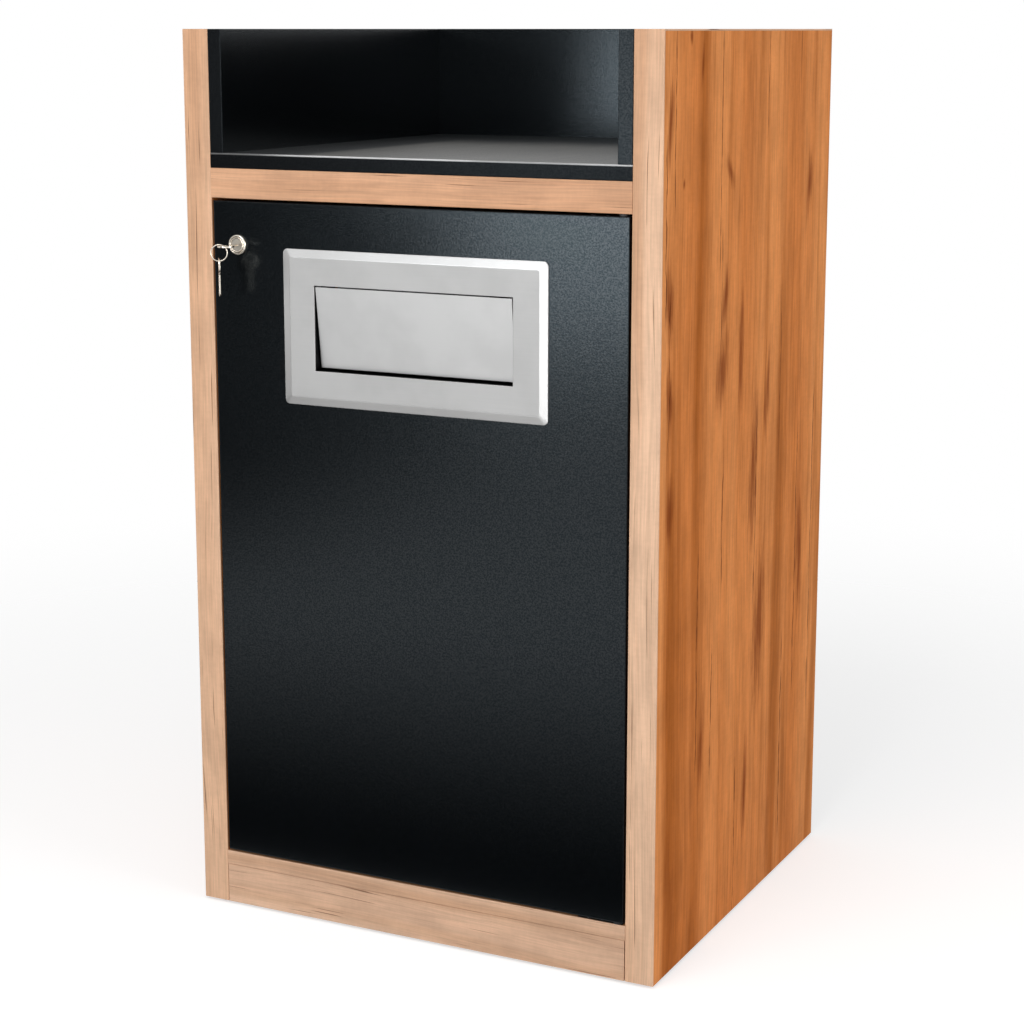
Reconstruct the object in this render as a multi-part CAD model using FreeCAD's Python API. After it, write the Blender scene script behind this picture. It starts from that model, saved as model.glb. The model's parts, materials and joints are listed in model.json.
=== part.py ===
# Free-standing waste cabinet with an open tray holder on top.
# Working frame: x to the right, y into the cabinet from its front plane, z up from the floor.
# Every piece is moved at the end so that the origin is the centre of the footprint, on the floor.
import FreeCAD
import Part
import math
import os

V = FreeCAD.Vector
X_AXIS = V(1, 0, 0)
Y_AXIS = V(0, 1, 0)
Z_AXIS = V(0, 0, 1)

# Cabinet, in millimetres
WIDTH = 624.0
DEPTH = 566.0
HEIGHT = 1100.0
SIDE_T = 36.0            # sides are two boards glued together
BOARD_T = 18.0
RAIL_T = 36.0
RAIL_DEPTH = 80.0
TRAY_RECESS = 146.0      # height of the open tray holder
PLINTH_H = 50.0
PLINTH_GAP = 0.8         # open joint at each end of the plinths
GLIDE_T = 3.0
GLIDE_R = 11.0
GLIDE_INSET = 42.0       # from the front and rear edges
OAK_EDGE_T = 2.0
BLACK_EDGE_T = 1.0
OAK_EDGE_ROUND = 1.2
BLACK_EDGE_ROUND = 0.7
BACK_LIFT = 8.0          # back panel stays this far off the floor

# Door
DOOR_T = 18.0
GAP_SIDE = 2.5
GAP_TOP = 3.0
GAP_BOTTOM = 2.5

# Pivot hinges, let into the top and bottom edges of the door
PIVOT_FROM_EDGE = 9.5
PIVOT_FROM_FRONT = 6.5
PIVOT_PIN_R = 2.5
PIVOT_RUN = 0.05         # radial running clearance
LEAF_T = 3.0
LEAF_W = 12.0
LEAF_L = 58.0
LEAF_FRONT = 2.5         # from the door face to the leaf
LEAF_END = 2.0           # from the door edge to the leaf
WASHER_R = 5.5
WASHER_SLACK = 0.4       # the upper washer is this much thinner than its gap
LEAF_SCREW_FIRST = 20.0  # from the pin to the first screw
LEAF_SCREW_PITCH = 18.0

# Flap insert in the door
FRAME_W = 350.0
FRAME_H = 187.0
FRAME_PROUD = 3.5
FRAME_LIP = 1.0          # upright rim of the frame before its bevel starts
FRAME_BEVEL = 10.0
FRAME_CORNER = 6.0
SHEET_T = 1.5
FRAME_DROP = 56.5        # from the rail above the door to the top of the frame
MOUTH_W = 263.0
MOUTH_H = 103.0
SLEEVE_T = 1.2
SLEEVE_REACH = 45.0      # behind the front plane
CUT_CLEAR = 6.0          # between the sleeve and the cut-out in the door
FLAP_T = 1.2
FLAP_SIDE_GAP = 1.3
FLAP_TOP_GAP = 1.2
FLAP_BOTTOM_GAP = 3.0
FLAP_SET_BACK = 1.0      # behind the frame's face when it hangs upright
FLAP_FOLD = 8.0          # depth of the folded lower lip
FLAP_TILT = 6.8          # degrees that the flap hangs inwards by its own weight
FLAP_PIN_R = 2.5
FLAP_PIN_DROP = 8.0      # below the top of the mouth
FLAP_PIN_BACK = 6.6      # behind the front face of the flap
BUSH_FLANGE_R = 5.0
BUSH_R = 3.6
BUSH_FLANGE_T = 1.0
CLIP_R = 4.5
CLIP_T = 0.8
PIN_END = 4.0            # pin end beyond the sleeve
STOP_STRIP_L = 200.0
STOP_STRIP_T = 2.2
STOP_STRIP_H = 4.5
STOP_STRIP_GAP = 0.2
STUD_R = 2.5
STUD_END = 2.0
BACK_PLATE_RIM = 34.0
BACK_PLATE_T = 1.5
WASHER_T = 1.0
STUD_WASHER_R = 6.0
NUT_T = 4.0
NUT_R = 4.6              # to the corners of the hexagon

# Cam lock in the door
LOCK_FROM_EDGE = 34.5
LOCK_FROM_TOP = 52.0
ROSETTE_R = 12.25
ROSETTE_T = 4.0
BARREL_R = 9.5
BARREL_END = 4.0         # barrel beyond the back of the door
PLUG_R = 7.0
PLUG_RUN = 0.05
PLUG_SUNK = 0.6          # plug face below the rosette face
LOCK_NUT_R = 13.5
LOCK_NUT_T = 3.0
CAM_L = 33.0
CAM_W = 12.0
CAM_T = 2.0
CAM_GAP = 0.5            # between the barrel and the cam
TAIL_HALF = 4.0          # half of the square tail that carries the cam
CAM_SCREW_R = 5.0
CAM_SCREW_T = 2.2
STRIKE_T = 2.0
STRIKE_W = 14.0
STRIKE_H = 30.0
STRIKE_LEG = 28.0
STRIKE_FROM_CAM = 1.0
BUFFER_R = 4.0
BUFFER_GAP = 0.2

# Keys and ring
KEY_T = 2.0
KEY_BLADE_L = 17.5
KEY_BLADE_W = 7.0
KEY_NECK = 18.0          # from the shoulder to the middle of the bow
KEY_SHANK_W = 9.0
KEY_BOW_R = 10.5
KEY_HOLE_R = 3.85
KEY_RIM = 2.9            # between the hole and the end of the bow
KEY_OUT = 4.0            # from the rosette face to the shoulder
KEY_SLOT_CLEAR = 0.15
KEY_NOTCHES = (3.0, 6.5, 10.0, 13.0)
KEY_NOTCH_DEPTH = 1.4
RING_R = 9.75
RING_WIRE_R = 0.7
RING_TURN = 35.0         # degrees that the ring faces away from the door, towards the right
RING_LEAN = 42.0         # degrees from straight down to the middle of the ring
HANG_GAP = 0.35

# Waste bin inside
BIN_SIDE_ROOM = 52.0     # from the cabinet's inner faces to the rim
BIN_FRONT_ROOM = 46.0
BIN_BACK_ROOM = 30.0
BIN_HEADROOM = 56.0      # from the rim to the sleeve
BIN_TAPER = 22.0
BIN_WALL = 3.0
BIN_RIM_W = 11.0
BIN_RIM_H = 14.0
BIN_CORNER = 46.0
BIN_STAND = 0.3
GRIP_W = 110.0
GRIP_H = 30.0
GRIP_DROP = 34.0         # from the rim to the top of the grip hole

# Fittings in the carcass
FIT = 0.05               # clearance round fixed fasteners
CAM_LOCK_R = 7.5
CAM_LOCK_T = 12.5
CAM_LOCK_BACK = 34.0     # from the end of the board to the cam's axis
CAM_LOCK_UP = 9.0        # from the underside of the board to the bolt
BOLT_R = 2.8
BOLT_HEAD_R = 3.4
BOLT_HEAD_T = 3.0
BOLT_IN_SIDE = 11.0
BOLT_BORE_R = 4.0
DOWEL_R = 4.0
DOWEL_HALF = 15.0
DOWEL_SPARE = 1.0
SMALL_DOWEL_R = 3.0
SMALL_DOWEL_HALF = 12.0
SCREW_R = 2.0
SCREW_HEAD_R = 4.0
SCREW_L = 45.0
SMALL_SCREW_R = 1.5
SMALL_SCREW_HEAD_R = 3.0
SMALL_SCREW_L = 18.0
BACK_SCREW_R = 3.2
BACK_SCREW_HEAD_R = 5.0
BACK_SCREW_L = 50.0
BACK_SCREW_SPAN = 220.0  # from the middle to the outer screws
FRONT_FITTING_Y = 45.0
REAR_FITTING_Y = 470.0
DOWEL_STEP = 32.0
LINER_DOWEL_Y = (90.0, 460.0)
RECESS_SHARE = 0.7       # driver recess, as a share of the screw's radius

# Places that follow from the driving dimensions
HALF_W = WIDTH / 2
INNER = HALF_W - SIDE_T
BACK_Y = DEPTH - BOARD_T
BOTTOM_UNDER = GLIDE_T + PLINTH_H
BOTTOM_TOP = BOTTOM_UNDER + BOARD_T
TRAY_TOP = HEIGHT - TRAY_RECESS
RAIL_TOP = TRAY_TOP - BOARD_T
RAIL_UNDER = RAIL_TOP - RAIL_T
DOOR_HALF = INNER - GAP_SIDE
DOOR_LOW = BOTTOM_TOP + GAP_BOTTOM
DOOR_HIGH = RAIL_UNDER - GAP_TOP
PIVOT_X = DOOR_HALF - PIVOT_FROM_EDGE
PIVOT_Y = PIVOT_FROM_FRONT
FRAME_Z = RAIL_UNDER - FRAME_DROP - FRAME_H / 2
MOUTH_TOP = FRAME_Z + MOUTH_H / 2
MOUTH_LOW = FRAME_Z - MOUTH_H / 2
SLEEVE_HALF = MOUTH_W / 2 + SLEEVE_T
FLAP_HALF = MOUTH_W / 2 - FLAP_SIDE_GAP
FLAP_FRONT = FLAP_SET_BACK - FRAME_PROUD
FLAP_PIN = V(0, FLAP_FRONT + FLAP_PIN_BACK, MOUTH_TOP - FLAP_PIN_DROP)
LOCK = V(-DOOR_HALF + LOCK_FROM_EDGE, 0, DOOR_HIGH - LOCK_FROM_TOP)
CAM_Y = DOOR_T + BARREL_END + CAM_GAP
SHOULDER_Y = -(ROSETTE_T + KEY_OUT)
BOW_HOLE_U = KEY_NECK + KEY_BOW_R - KEY_RIM - KEY_HOLE_R
RING_SIDE = V(math.cos(math.radians(RING_TURN)), math.sin(math.radians(RING_TURN)), 0)
RING_FACE = V(-RING_SIDE.y, RING_SIDE.x, 0)
RING_HOLE = V(LOCK.x, SHOULDER_Y - BOW_HOLE_U, LOCK.z)
RING_MID = (RING_HOLE - RING_SIDE * (RING_R * math.sin(math.radians(RING_LEAN)))
            - Z_AXIS * (RING_R * math.cos(math.radians(RING_LEAN))))
RING_LOW = RING_MID - Z_AXIS * RING_R
KEY_REACH = -(RING_MID.y - KEY_BOW_R * RING_FACE.y - KEY_T / 2 * RING_SIDE.y)
TO_ORIGIN = V(0, -(DEPTH - KEY_REACH) / 2, 0)

pieces = {}


def add(name, *solids):
    """Keeps one named piece, or a group of separate identical ones."""
    pieces[name] = solids[0] if len(solids) == 1 else Part.makeCompound(list(solids))


def box(x0, x1, y0, y1, z0, z1):
    return Part.makeBox(x1 - x0, y1 - y0, z1 - z0, V(x0, y0, z0))


def rod(radius, start, direction, length):
    return Part.makeCylinder(radius, length, start, direction)


def fused(first, *others):
    return first.multiFuse(list(others)).removeSplitter()


def ease(shape, radius, along, **at):
    """Rounds the straight edges that run along an axis and lie at the given coordinates."""
    def chosen(edge):
        first, last = edge.Vertexes[0].Point, edge.Vertexes[-1].Point
        run = (last - first).normalize()
        if abs(getattr(run, along)) < 0.999:
            return False
        return all(abs(getattr(first, name) - value) < 1e-6 for name, value in at.items())
    return shape.makeFillet(radius, [edge for edge in shape.Edges if chosen(edge)])


def screw(head, direction, length, radius, head_radius, grow=0.0):
    """A countersunk screw. With grow it is the hole that the screw sits in."""
    cone_h = head_radius - radius
    body = Part.makeCone(head_radius + grow, radius + grow, cone_h, head, direction)
    shank = rod(radius + grow, head + direction * cone_h, direction, length - cone_h - radius + grow)
    tip = Part.makeCone(radius + grow, radius * 0.2, radius + grow,
                        head + direction * (length - radius + grow), direction)
    whole = fused(body, shank, tip)
    if grow:
        return whole
    return whole.cut(rod(radius * RECESS_SHARE, head, direction, radius * RECESS_SHARE))


def hexagon(radius, start, thickness):
    """A six-sided bar along y."""
    corners = [start + V(radius * math.cos(math.radians(60 * i)), 0, radius * math.sin(math.radians(60 * i)))
               for i in range(7)]
    return Part.Face(Part.makePolygon(corners)).extrude(Y_AXIS * thickness)


def rounded_rectangle(half_w, half_h, corner, y, z):
    """A closed outline in an upright plane, facing the front."""
    def spot(x, dz):
        return V(x, y, z + dz)
    edges = []
    bend = corner * math.sqrt(0.5)
    for sx, sz in ((1, 1), (-1, 1), (-1, -1), (1, -1)):
        inner_x, inner_z = sx * (half_w - corner), sz * (half_h - corner)
        ends = [spot(sx * half_w, inner_z), spot(inner_x, sz * half_h)]
        if sx * sz < 0:
            ends.reverse()
        middle = spot(inner_x + sx * bend, inner_z + sz * bend)
        if edges:
            edges.append(Part.LineSegment(last, ends[0]).toShape())
        else:
            first = ends[0]
        edges.append(Part.Arc(ends[0], middle, ends[1]).toShape())
        last = ends[1]
    edges.append(Part.LineSegment(last, first).toShape())
    return Part.Wire(edges)


def flat_outline(half_w, half_d, corner, y, z):
    """The same outline lying level at height z, with its middle at depth y."""
    wire = rounded_rectangle(half_w, half_d, corner, 0, 0)
    wire.rotate(V(), X_AXIS, 90)
    wire.translate(V(0, y, z))
    return wire


def prism(wires):
    return Part.makeLoft(wires, True, True)


# Carcass fittings: each maker returns the pieces and the holes that they need

def cam_fitting(side, y, underside):
    """A cam lock in a board's underside and the bolt that ties the board to a side panel."""
    out = X_AXIS * side
    axis = V(side * (INNER - CAM_LOCK_BACK), y, underside)
    level = V(0, 0, CAM_LOCK_UP)
    bolt_start = V(side * (INNER + BOLT_IN_SIDE), y, underside + CAM_LOCK_UP)
    reach = BOLT_IN_SIDE + CAM_LOCK_BACK
    bolt = fused(rod(BOLT_R, bolt_start, -out, reach - BOLT_HEAD_T),
                 rod(BOLT_HEAD_R, axis + level + out * BOLT_HEAD_T, -out, BOLT_HEAD_T))
    bolt_bore = rod(BOLT_BORE_R, axis + level - out * FIT, out, CAM_LOCK_R + FIT)
    slot = box(axis.x - 4, axis.x + 4, y - 0.8, y + 0.8, underside, underside + 2)
    cam = rod(CAM_LOCK_R, axis, Z_AXIS, CAM_LOCK_T).cut(bolt_bore).cut(slot)
    pocket = fused(rod(CAM_LOCK_R + FIT, axis, Z_AXIS, CAM_LOCK_T + FIT),
                   rod(BOLT_BORE_R, axis + level, out, CAM_LOCK_BACK))
    side_hole = rod(BOLT_R + FIT, bolt_start + out * DOWEL_SPARE, -out, BOLT_IN_SIDE + DOWEL_SPARE)
    return cam, bolt, pocket, side_hole


def cross_dowel(side, y, z):
    """A beech dowel between a side panel and the end of a board, with its hole."""
    start = V(side * INNER - DOWEL_HALF, y, z)
    spare = X_AXIS * DOWEL_SPARE
    return (rod(DOWEL_R, start, X_AXIS, 2 * DOWEL_HALF),
            rod(DOWEL_R + FIT, start - spare, X_AXIS, 2 * (DOWEL_HALF + DOWEL_SPARE)))


def upright_dowel(x, y, z):
    start = V(x, y, z - SMALL_DOWEL_HALF)
    spare = Z_AXIS * DOWEL_SPARE
    return (rod(SMALL_DOWEL_R, start, Z_AXIS, 2 * SMALL_DOWEL_HALF),
            rod(SMALL_DOWEL_R + FIT, start - spare, Z_AXIS, 2 * (SMALL_DOWEL_HALF + DOWEL_SPARE)))


def make_carcass():
    cams, bolts, dowels = [], [], []
    holes = {name: [] for name in ("left", "right", "bottom", "front_rail", "rear_rail",
                                   "plinth_front", "plinth_rear", "tray_floor", "left_wall", "right_wall", "back")}
    front_rail_y = FRONT_FITTING_Y
    rear_rail_y = BACK_Y - RAIL_DEPTH / 2
    cam_places = (("bottom", FRONT_FITTING_Y, BOTTOM_UNDER), ("bottom", REAR_FITTING_Y, BOTTOM_UNDER),
                  ("front_rail", front_rail_y, RAIL_UNDER), ("rear_rail", rear_rail_y, RAIL_UNDER))
    dowel_places = (("bottom", FRONT_FITTING_Y + DOWEL_STEP, BOTTOM_UNDER + BOARD_T / 2),
                    ("bottom", REAR_FITTING_Y - DOWEL_STEP, BOTTOM_UNDER + BOARD_T / 2),
                    ("front_rail", front_rail_y, RAIL_TOP - CAM_LOCK_UP),
                    ("rear_rail", rear_rail_y, RAIL_TOP - CAM_LOCK_UP),
                    ("plinth_front", BOARD_T / 2, GLIDE_T + PLINTH_H / 2),
                    ("plinth_rear", BACK_Y - BOARD_T / 2, GLIDE_T + PLINTH_H / 2))
    for side, side_name in ((-1, "left"), (1, "right")):
        for board, y, underside in cam_places:
            cam, bolt, pocket, side_hole = cam_fitting(side, y, underside)
            cams.append(cam)
            bolts.append(bolt)
            holes[board].append(pocket)
            holes[side_name].append(side_hole)
        for board, y, z in dowel_places:
            dowel, hole = cross_dowel(side, y, z)
            dowels.append(dowel)
            holes[board].append(hole)
            holes[side_name].append(hole)
        for y in LINER_DOWEL_Y:
            dowel, hole = upright_dowel(side * (INNER - BOARD_T / 2), y, TRAY_TOP)
            dowels.append(dowel)
            holes["tray_floor"].append(hole)
            holes[side_name + "_wall"].append(hole)
    add("cam_locks", *cams)
    add("cam_bolts", *bolts)
    add("beech_dowels", *dowels)

    glides = []
    for side, side_name in ((-1, "left"), (1, "right")):
        for y in (GLIDE_INSET, DEPTH - GLIDE_INSET):
            foot = V(side * (HALF_W - SIDE_T / 2), y, 0)
            disc = ease_disc(rod(GLIDE_R, foot, Z_AXIS, GLIDE_T))
            nail_top = V(foot.x, y, GLIDE_T)
            glides.append(fused(disc, rod(SMALL_SCREW_R, nail_top, Z_AXIS, SMALL_SCREW_L)))
            holes[side_name].append(rod(SMALL_SCREW_R + FIT, nail_top, Z_AXIS, SMALL_SCREW_L + FIT))
    add("floor_glides", *glides)

    back_screws = []
    for z in (BOTTOM_TOP - BOARD_T / 2, RAIL_UNDER + RAIL_T / 2, TRAY_TOP - BOARD_T / 2):
        for x in (-BACK_SCREW_SPAN, 0, BACK_SCREW_SPAN):
            head = V(x, DEPTH, z)
            hole = screw(head, -Y_AXIS, BACK_SCREW_L, BACK_SCREW_R, BACK_SCREW_HEAD_R, FIT)
            back_screws.append(screw(head, -Y_AXIS, BACK_SCREW_L, BACK_SCREW_R, BACK_SCREW_HEAD_R))
            for board in ("back", "bottom", "rear_rail", "tray_floor"):
                holes[board].append(hole)
    add("back_screws", *back_screws)

    tray_screws = []
    for x in (-INNER / 2, INNER / 2):
        for y, board in ((FRONT_FITTING_Y, "front_rail"), (BACK_Y - RAIL_DEPTH / 2, "rear_rail")):
            head = V(x, y, RAIL_UNDER)
            hole = screw(head, Z_AXIS, SCREW_L, SCREW_R, SCREW_HEAD_R, FIT)
            tray_screws.append(screw(head, Z_AXIS, SCREW_L, SCREW_R, SCREW_HEAD_R))
            holes[board].append(hole)
            holes["tray_floor"].append(hole)
    add("tray_floor_screws", *tray_screws)

    upper_leaf, lower_leaf = make_frame_leaves(holes)
    make_strike(holes)
    make_sides(holes)
    make_lower_boards(holes, lower_leaf)
    make_rails(holes, upper_leaf)
    make_tray_box(holes)


def ease_disc(disc):
    """Softens the edge of a glide where it meets the floor."""
    rim = [edge for edge in disc.Edges if edge.Closed and edge.BoundBox.ZMax < GLIDE_T / 2]
    return disc.makeFillet(GLIDE_T / 4, rim)


def drilled(board, cutters):
    return board.cut(cutters) if cutters else board


def make_sides(holes):
    top_strips, rear_strips = [], []
    for side, name in ((-1, "left"), (1, "right")):
        x0, x1 = sorted((side * INNER, side * HALF_W))
        core = box(x0, x1, OAK_EDGE_T, DEPTH - OAK_EDGE_T, GLIDE_T, HEIGHT - OAK_EDGE_T)
        add(name + "_side_panel", drilled(core, holes[name]))
        front = box(x0, x1, 0, OAK_EDGE_T, GLIDE_T, HEIGHT)
        add(name + "_front_edging", ease(front, OAK_EDGE_ROUND, "z", y=0))
        rear = box(x0, x1, DEPTH - OAK_EDGE_T, DEPTH, GLIDE_T, HEIGHT)
        rear_strips.append(ease(rear, OAK_EDGE_ROUND, "z", y=DEPTH))
        top = box(x0, x1, OAK_EDGE_T, DEPTH - OAK_EDGE_T, HEIGHT - OAK_EDGE_T, HEIGHT)
        top_strips.append(ease(top, OAK_EDGE_ROUND, "y", z=HEIGHT))
    add("side_top_edging", *top_strips)
    add("side_rear_edging", *rear_strips)


def make_lower_boards(holes, leaf_seat):
    bottom = box(-INNER, INNER, OAK_EDGE_T, BACK_Y, BOTTOM_UNDER, BOTTOM_TOP)
    add("bottom_panel", drilled(bottom, holes["bottom"] + [leaf_seat]))
    strip = box(-INNER, INNER, 0, OAK_EDGE_T, BOTTOM_UNDER, BOTTOM_TOP)
    add("bottom_panel_edging", ease(strip, OAK_EDGE_ROUND, "x", y=0))
    reach = INNER - PLINTH_GAP
    front = box(-reach, reach, 0, BOARD_T, GLIDE_T, BOTTOM_UNDER)
    add("front_plinth", drilled(front, holes["plinth_front"]))
    rear = box(-reach, reach, BACK_Y - BOARD_T, BACK_Y, GLIDE_T, BOTTOM_UNDER)
    add("rear_plinth", drilled(rear, holes["plinth_rear"]))
    back = box(-INNER, INNER, BACK_Y, DEPTH, BACK_LIFT, HEIGHT - BLACK_EDGE_T)
    add("back_panel", drilled(back, holes["back"]))
    back_top = box(-INNER, INNER, BACK_Y, DEPTH, HEIGHT - BLACK_EDGE_T, HEIGHT)
    add("back_panel_edging", ease(back_top, BLACK_EDGE_ROUND, "x", z=HEIGHT))


def make_rails(holes, leaf_seat):
    front = box(-INNER, INNER, OAK_EDGE_T, RAIL_DEPTH, RAIL_UNDER, RAIL_TOP)
    add("upper_front_rail", drilled(front, holes["front_rail"] + [leaf_seat]))
    strip = box(-INNER, INNER, 0, OAK_EDGE_T, RAIL_UNDER, RAIL_TOP)
    add("upper_rail_edging", ease(strip, OAK_EDGE_ROUND, "x", y=0))
    rear = box(-INNER, INNER, BACK_Y - RAIL_DEPTH, BACK_Y, RAIL_UNDER, RAIL_TOP)
    add("upper_rear_rail", drilled(rear, holes["rear_rail"]))


def make_tray_box(holes):
    floor = box(-INNER, INNER, BLACK_EDGE_T, BACK_Y, RAIL_TOP, TRAY_TOP)
    add("tray_floor", drilled(floor, holes["tray_floor"]))
    strip = box(-INNER, INNER, 0, BLACK_EDGE_T, RAIL_TOP, TRAY_TOP)
    add("tray_floor_edging", ease(strip, BLACK_EDGE_ROUND, "x", y=0))
    strips = []
    for side, name in ((-1, "left"), (1, "right")):
        x0, x1 = sorted((side * INNER, side * (INNER - BOARD_T)))
        wall = box(x0, x1, BLACK_EDGE_T, BACK_Y, TRAY_TOP, HEIGHT - BLACK_EDGE_T)
        add(name + "_tray_wall", drilled(wall, holes[name + "_wall"]))
        front = box(x0, x1, 0, BLACK_EDGE_T, TRAY_TOP, HEIGHT)
        strips.append(ease(front, BLACK_EDGE_ROUND, "z", y=0))
        top = box(x0, x1, BLACK_EDGE_T, BACK_Y, HEIGHT - BLACK_EDGE_T, HEIGHT)
        strips.append(ease(top, BLACK_EDGE_ROUND, "y", z=HEIGHT))
    add("tray_wall_edging", *strips)


# Pivot hinges

def leaf_screw_heads(z):
    first = PIVOT_X - LEAF_SCREW_FIRST
    y = LEAF_FRONT + LEAF_W / 2
    return [V(first, y, z), V(first - LEAF_SCREW_PITCH, y, z)]


def leaf(z0, grow=0.0):
    """The plate of a hinge leaf. With grow it is the recess that the plate sits in."""
    x1 = DOOR_HALF - LEAF_END
    return box(x1 - LEAF_L - grow, x1 + grow, LEAF_FRONT - grow, LEAF_FRONT + LEAF_W + grow,
               z0 - grow, z0 + LEAF_T + grow)


def make_leaf(z0, outer_z, drive, hole_board):
    """A leaf with two screws. outer_z is the face that the screw heads are in."""
    plate = leaf(z0)
    screws = []
    for head in leaf_screw_heads(outer_z):
        hole = screw(head, drive, SMALL_SCREW_L, SMALL_SCREW_R, SMALL_SCREW_HEAD_R, FIT)
        plate = plate.cut(hole)
        hole_board.append(hole)
        screws.append(screw(head, drive, SMALL_SCREW_L, SMALL_SCREW_R, SMALL_SCREW_HEAD_R))
    return plate, screws


def pin_hole(z, direction, length):
    return rod(PIVOT_PIN_R + PIVOT_RUN, V(PIVOT_X, PIVOT_Y, z), direction, length)


def make_frame_leaves(holes):
    """The leaves in the rail and the bottom panel, with their bushed holes, washers and screws."""
    upper, upper_screws = make_leaf(RAIL_UNDER, RAIL_UNDER, Z_AXIS, holes["front_rail"])
    lower_z = BOTTOM_TOP - LEAF_T
    lower, lower_screws = make_leaf(lower_z, BOTTOM_TOP, -Z_AXIS, holes["bottom"])
    add("upper_frame_pivot", upper.cut(pin_hole(RAIL_UNDER, Z_AXIS, LEAF_T)))
    add("lower_frame_pivot", lower.cut(pin_hole(lower_z, Z_AXIS, LEAF_T)))
    add("frame_pivot_screws", *(upper_screws + lower_screws))
    washers = []
    for z, thickness in ((RAIL_UNDER - GAP_TOP + WASHER_SLACK / 2, GAP_TOP - WASHER_SLACK),
                         (BOTTOM_TOP, GAP_BOTTOM)):
        ring = rod(WASHER_R, V(PIVOT_X, PIVOT_Y, z), Z_AXIS, thickness)
        washers.append(ring.cut(pin_hole(z, Z_AXIS, thickness)))
    add("pivot_washers", *washers)
    upper_seat = fused(leaf(RAIL_UNDER, FIT), pin_hole(RAIL_UNDER, Z_AXIS, 2 * LEAF_T))
    lower_seat = fused(leaf(lower_z, FIT), pin_hole(lower_z - LEAF_T, Z_AXIS, 2 * LEAF_T))
    return upper_seat, lower_seat


def make_door_leaves(cutters):
    """The leaves in the door, each with a pin that turns in the frame's leaf."""
    upper_z = DOOR_HIGH - LEAF_T
    upper, upper_screws = make_leaf(upper_z, DOOR_HIGH, -Z_AXIS, cutters)
    lower, lower_screws = make_leaf(DOOR_LOW, DOOR_LOW, Z_AXIS, cutters)
    upper_pin = rod(PIVOT_PIN_R, V(PIVOT_X, PIVOT_Y, upper_z), Z_AXIS, 2 * LEAF_T + GAP_TOP)
    lower_pin = rod(PIVOT_PIN_R, V(PIVOT_X, PIVOT_Y, DOOR_LOW + LEAF_T), -Z_AXIS, 2 * LEAF_T + GAP_BOTTOM)
    add("upper_door_pivot", fused(upper, upper_pin))
    add("lower_door_pivot", fused(lower, lower_pin))
    add("door_pivot_screws", *(upper_screws + lower_screws))
    cutters.append(leaf(upper_z, FIT))
    cutters.append(leaf(DOOR_LOW, FIT))


# Door, flap insert and lock

def make_door():
    cutters = []
    make_door_leaves(cutters)
    make_flap_insert(cutters)
    make_lock(cutters)
    edge = BLACK_EDGE_T
    core = box(-DOOR_HALF + edge, DOOR_HALF - edge, 0, DOOR_T, DOOR_LOW + edge, DOOR_HIGH - edge)
    add("door_panel", core.cut(cutters))
    strips = []
    for side in (-1, 1):
        x0, x1 = sorted((side * DOOR_HALF, side * (DOOR_HALF - edge)))
        upright = box(x0, x1, 0, DOOR_T, DOOR_LOW, DOOR_HIGH)
        strips.append(ease(upright, BLACK_EDGE_ROUND, "z", x=side * DOOR_HALF))
    for z0, z1, outer in ((DOOR_LOW, DOOR_LOW + edge, DOOR_LOW), (DOOR_HIGH - edge, DOOR_HIGH, DOOR_HIGH)):
        level = box(-DOOR_HALF + edge, DOOR_HALF - edge, 0, DOOR_T, z0, z1)
        strips.append(ease(level, BLACK_EDGE_ROUND, "x", z=outer).cut(cutters))
    add("door_edging", *strips)


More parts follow.
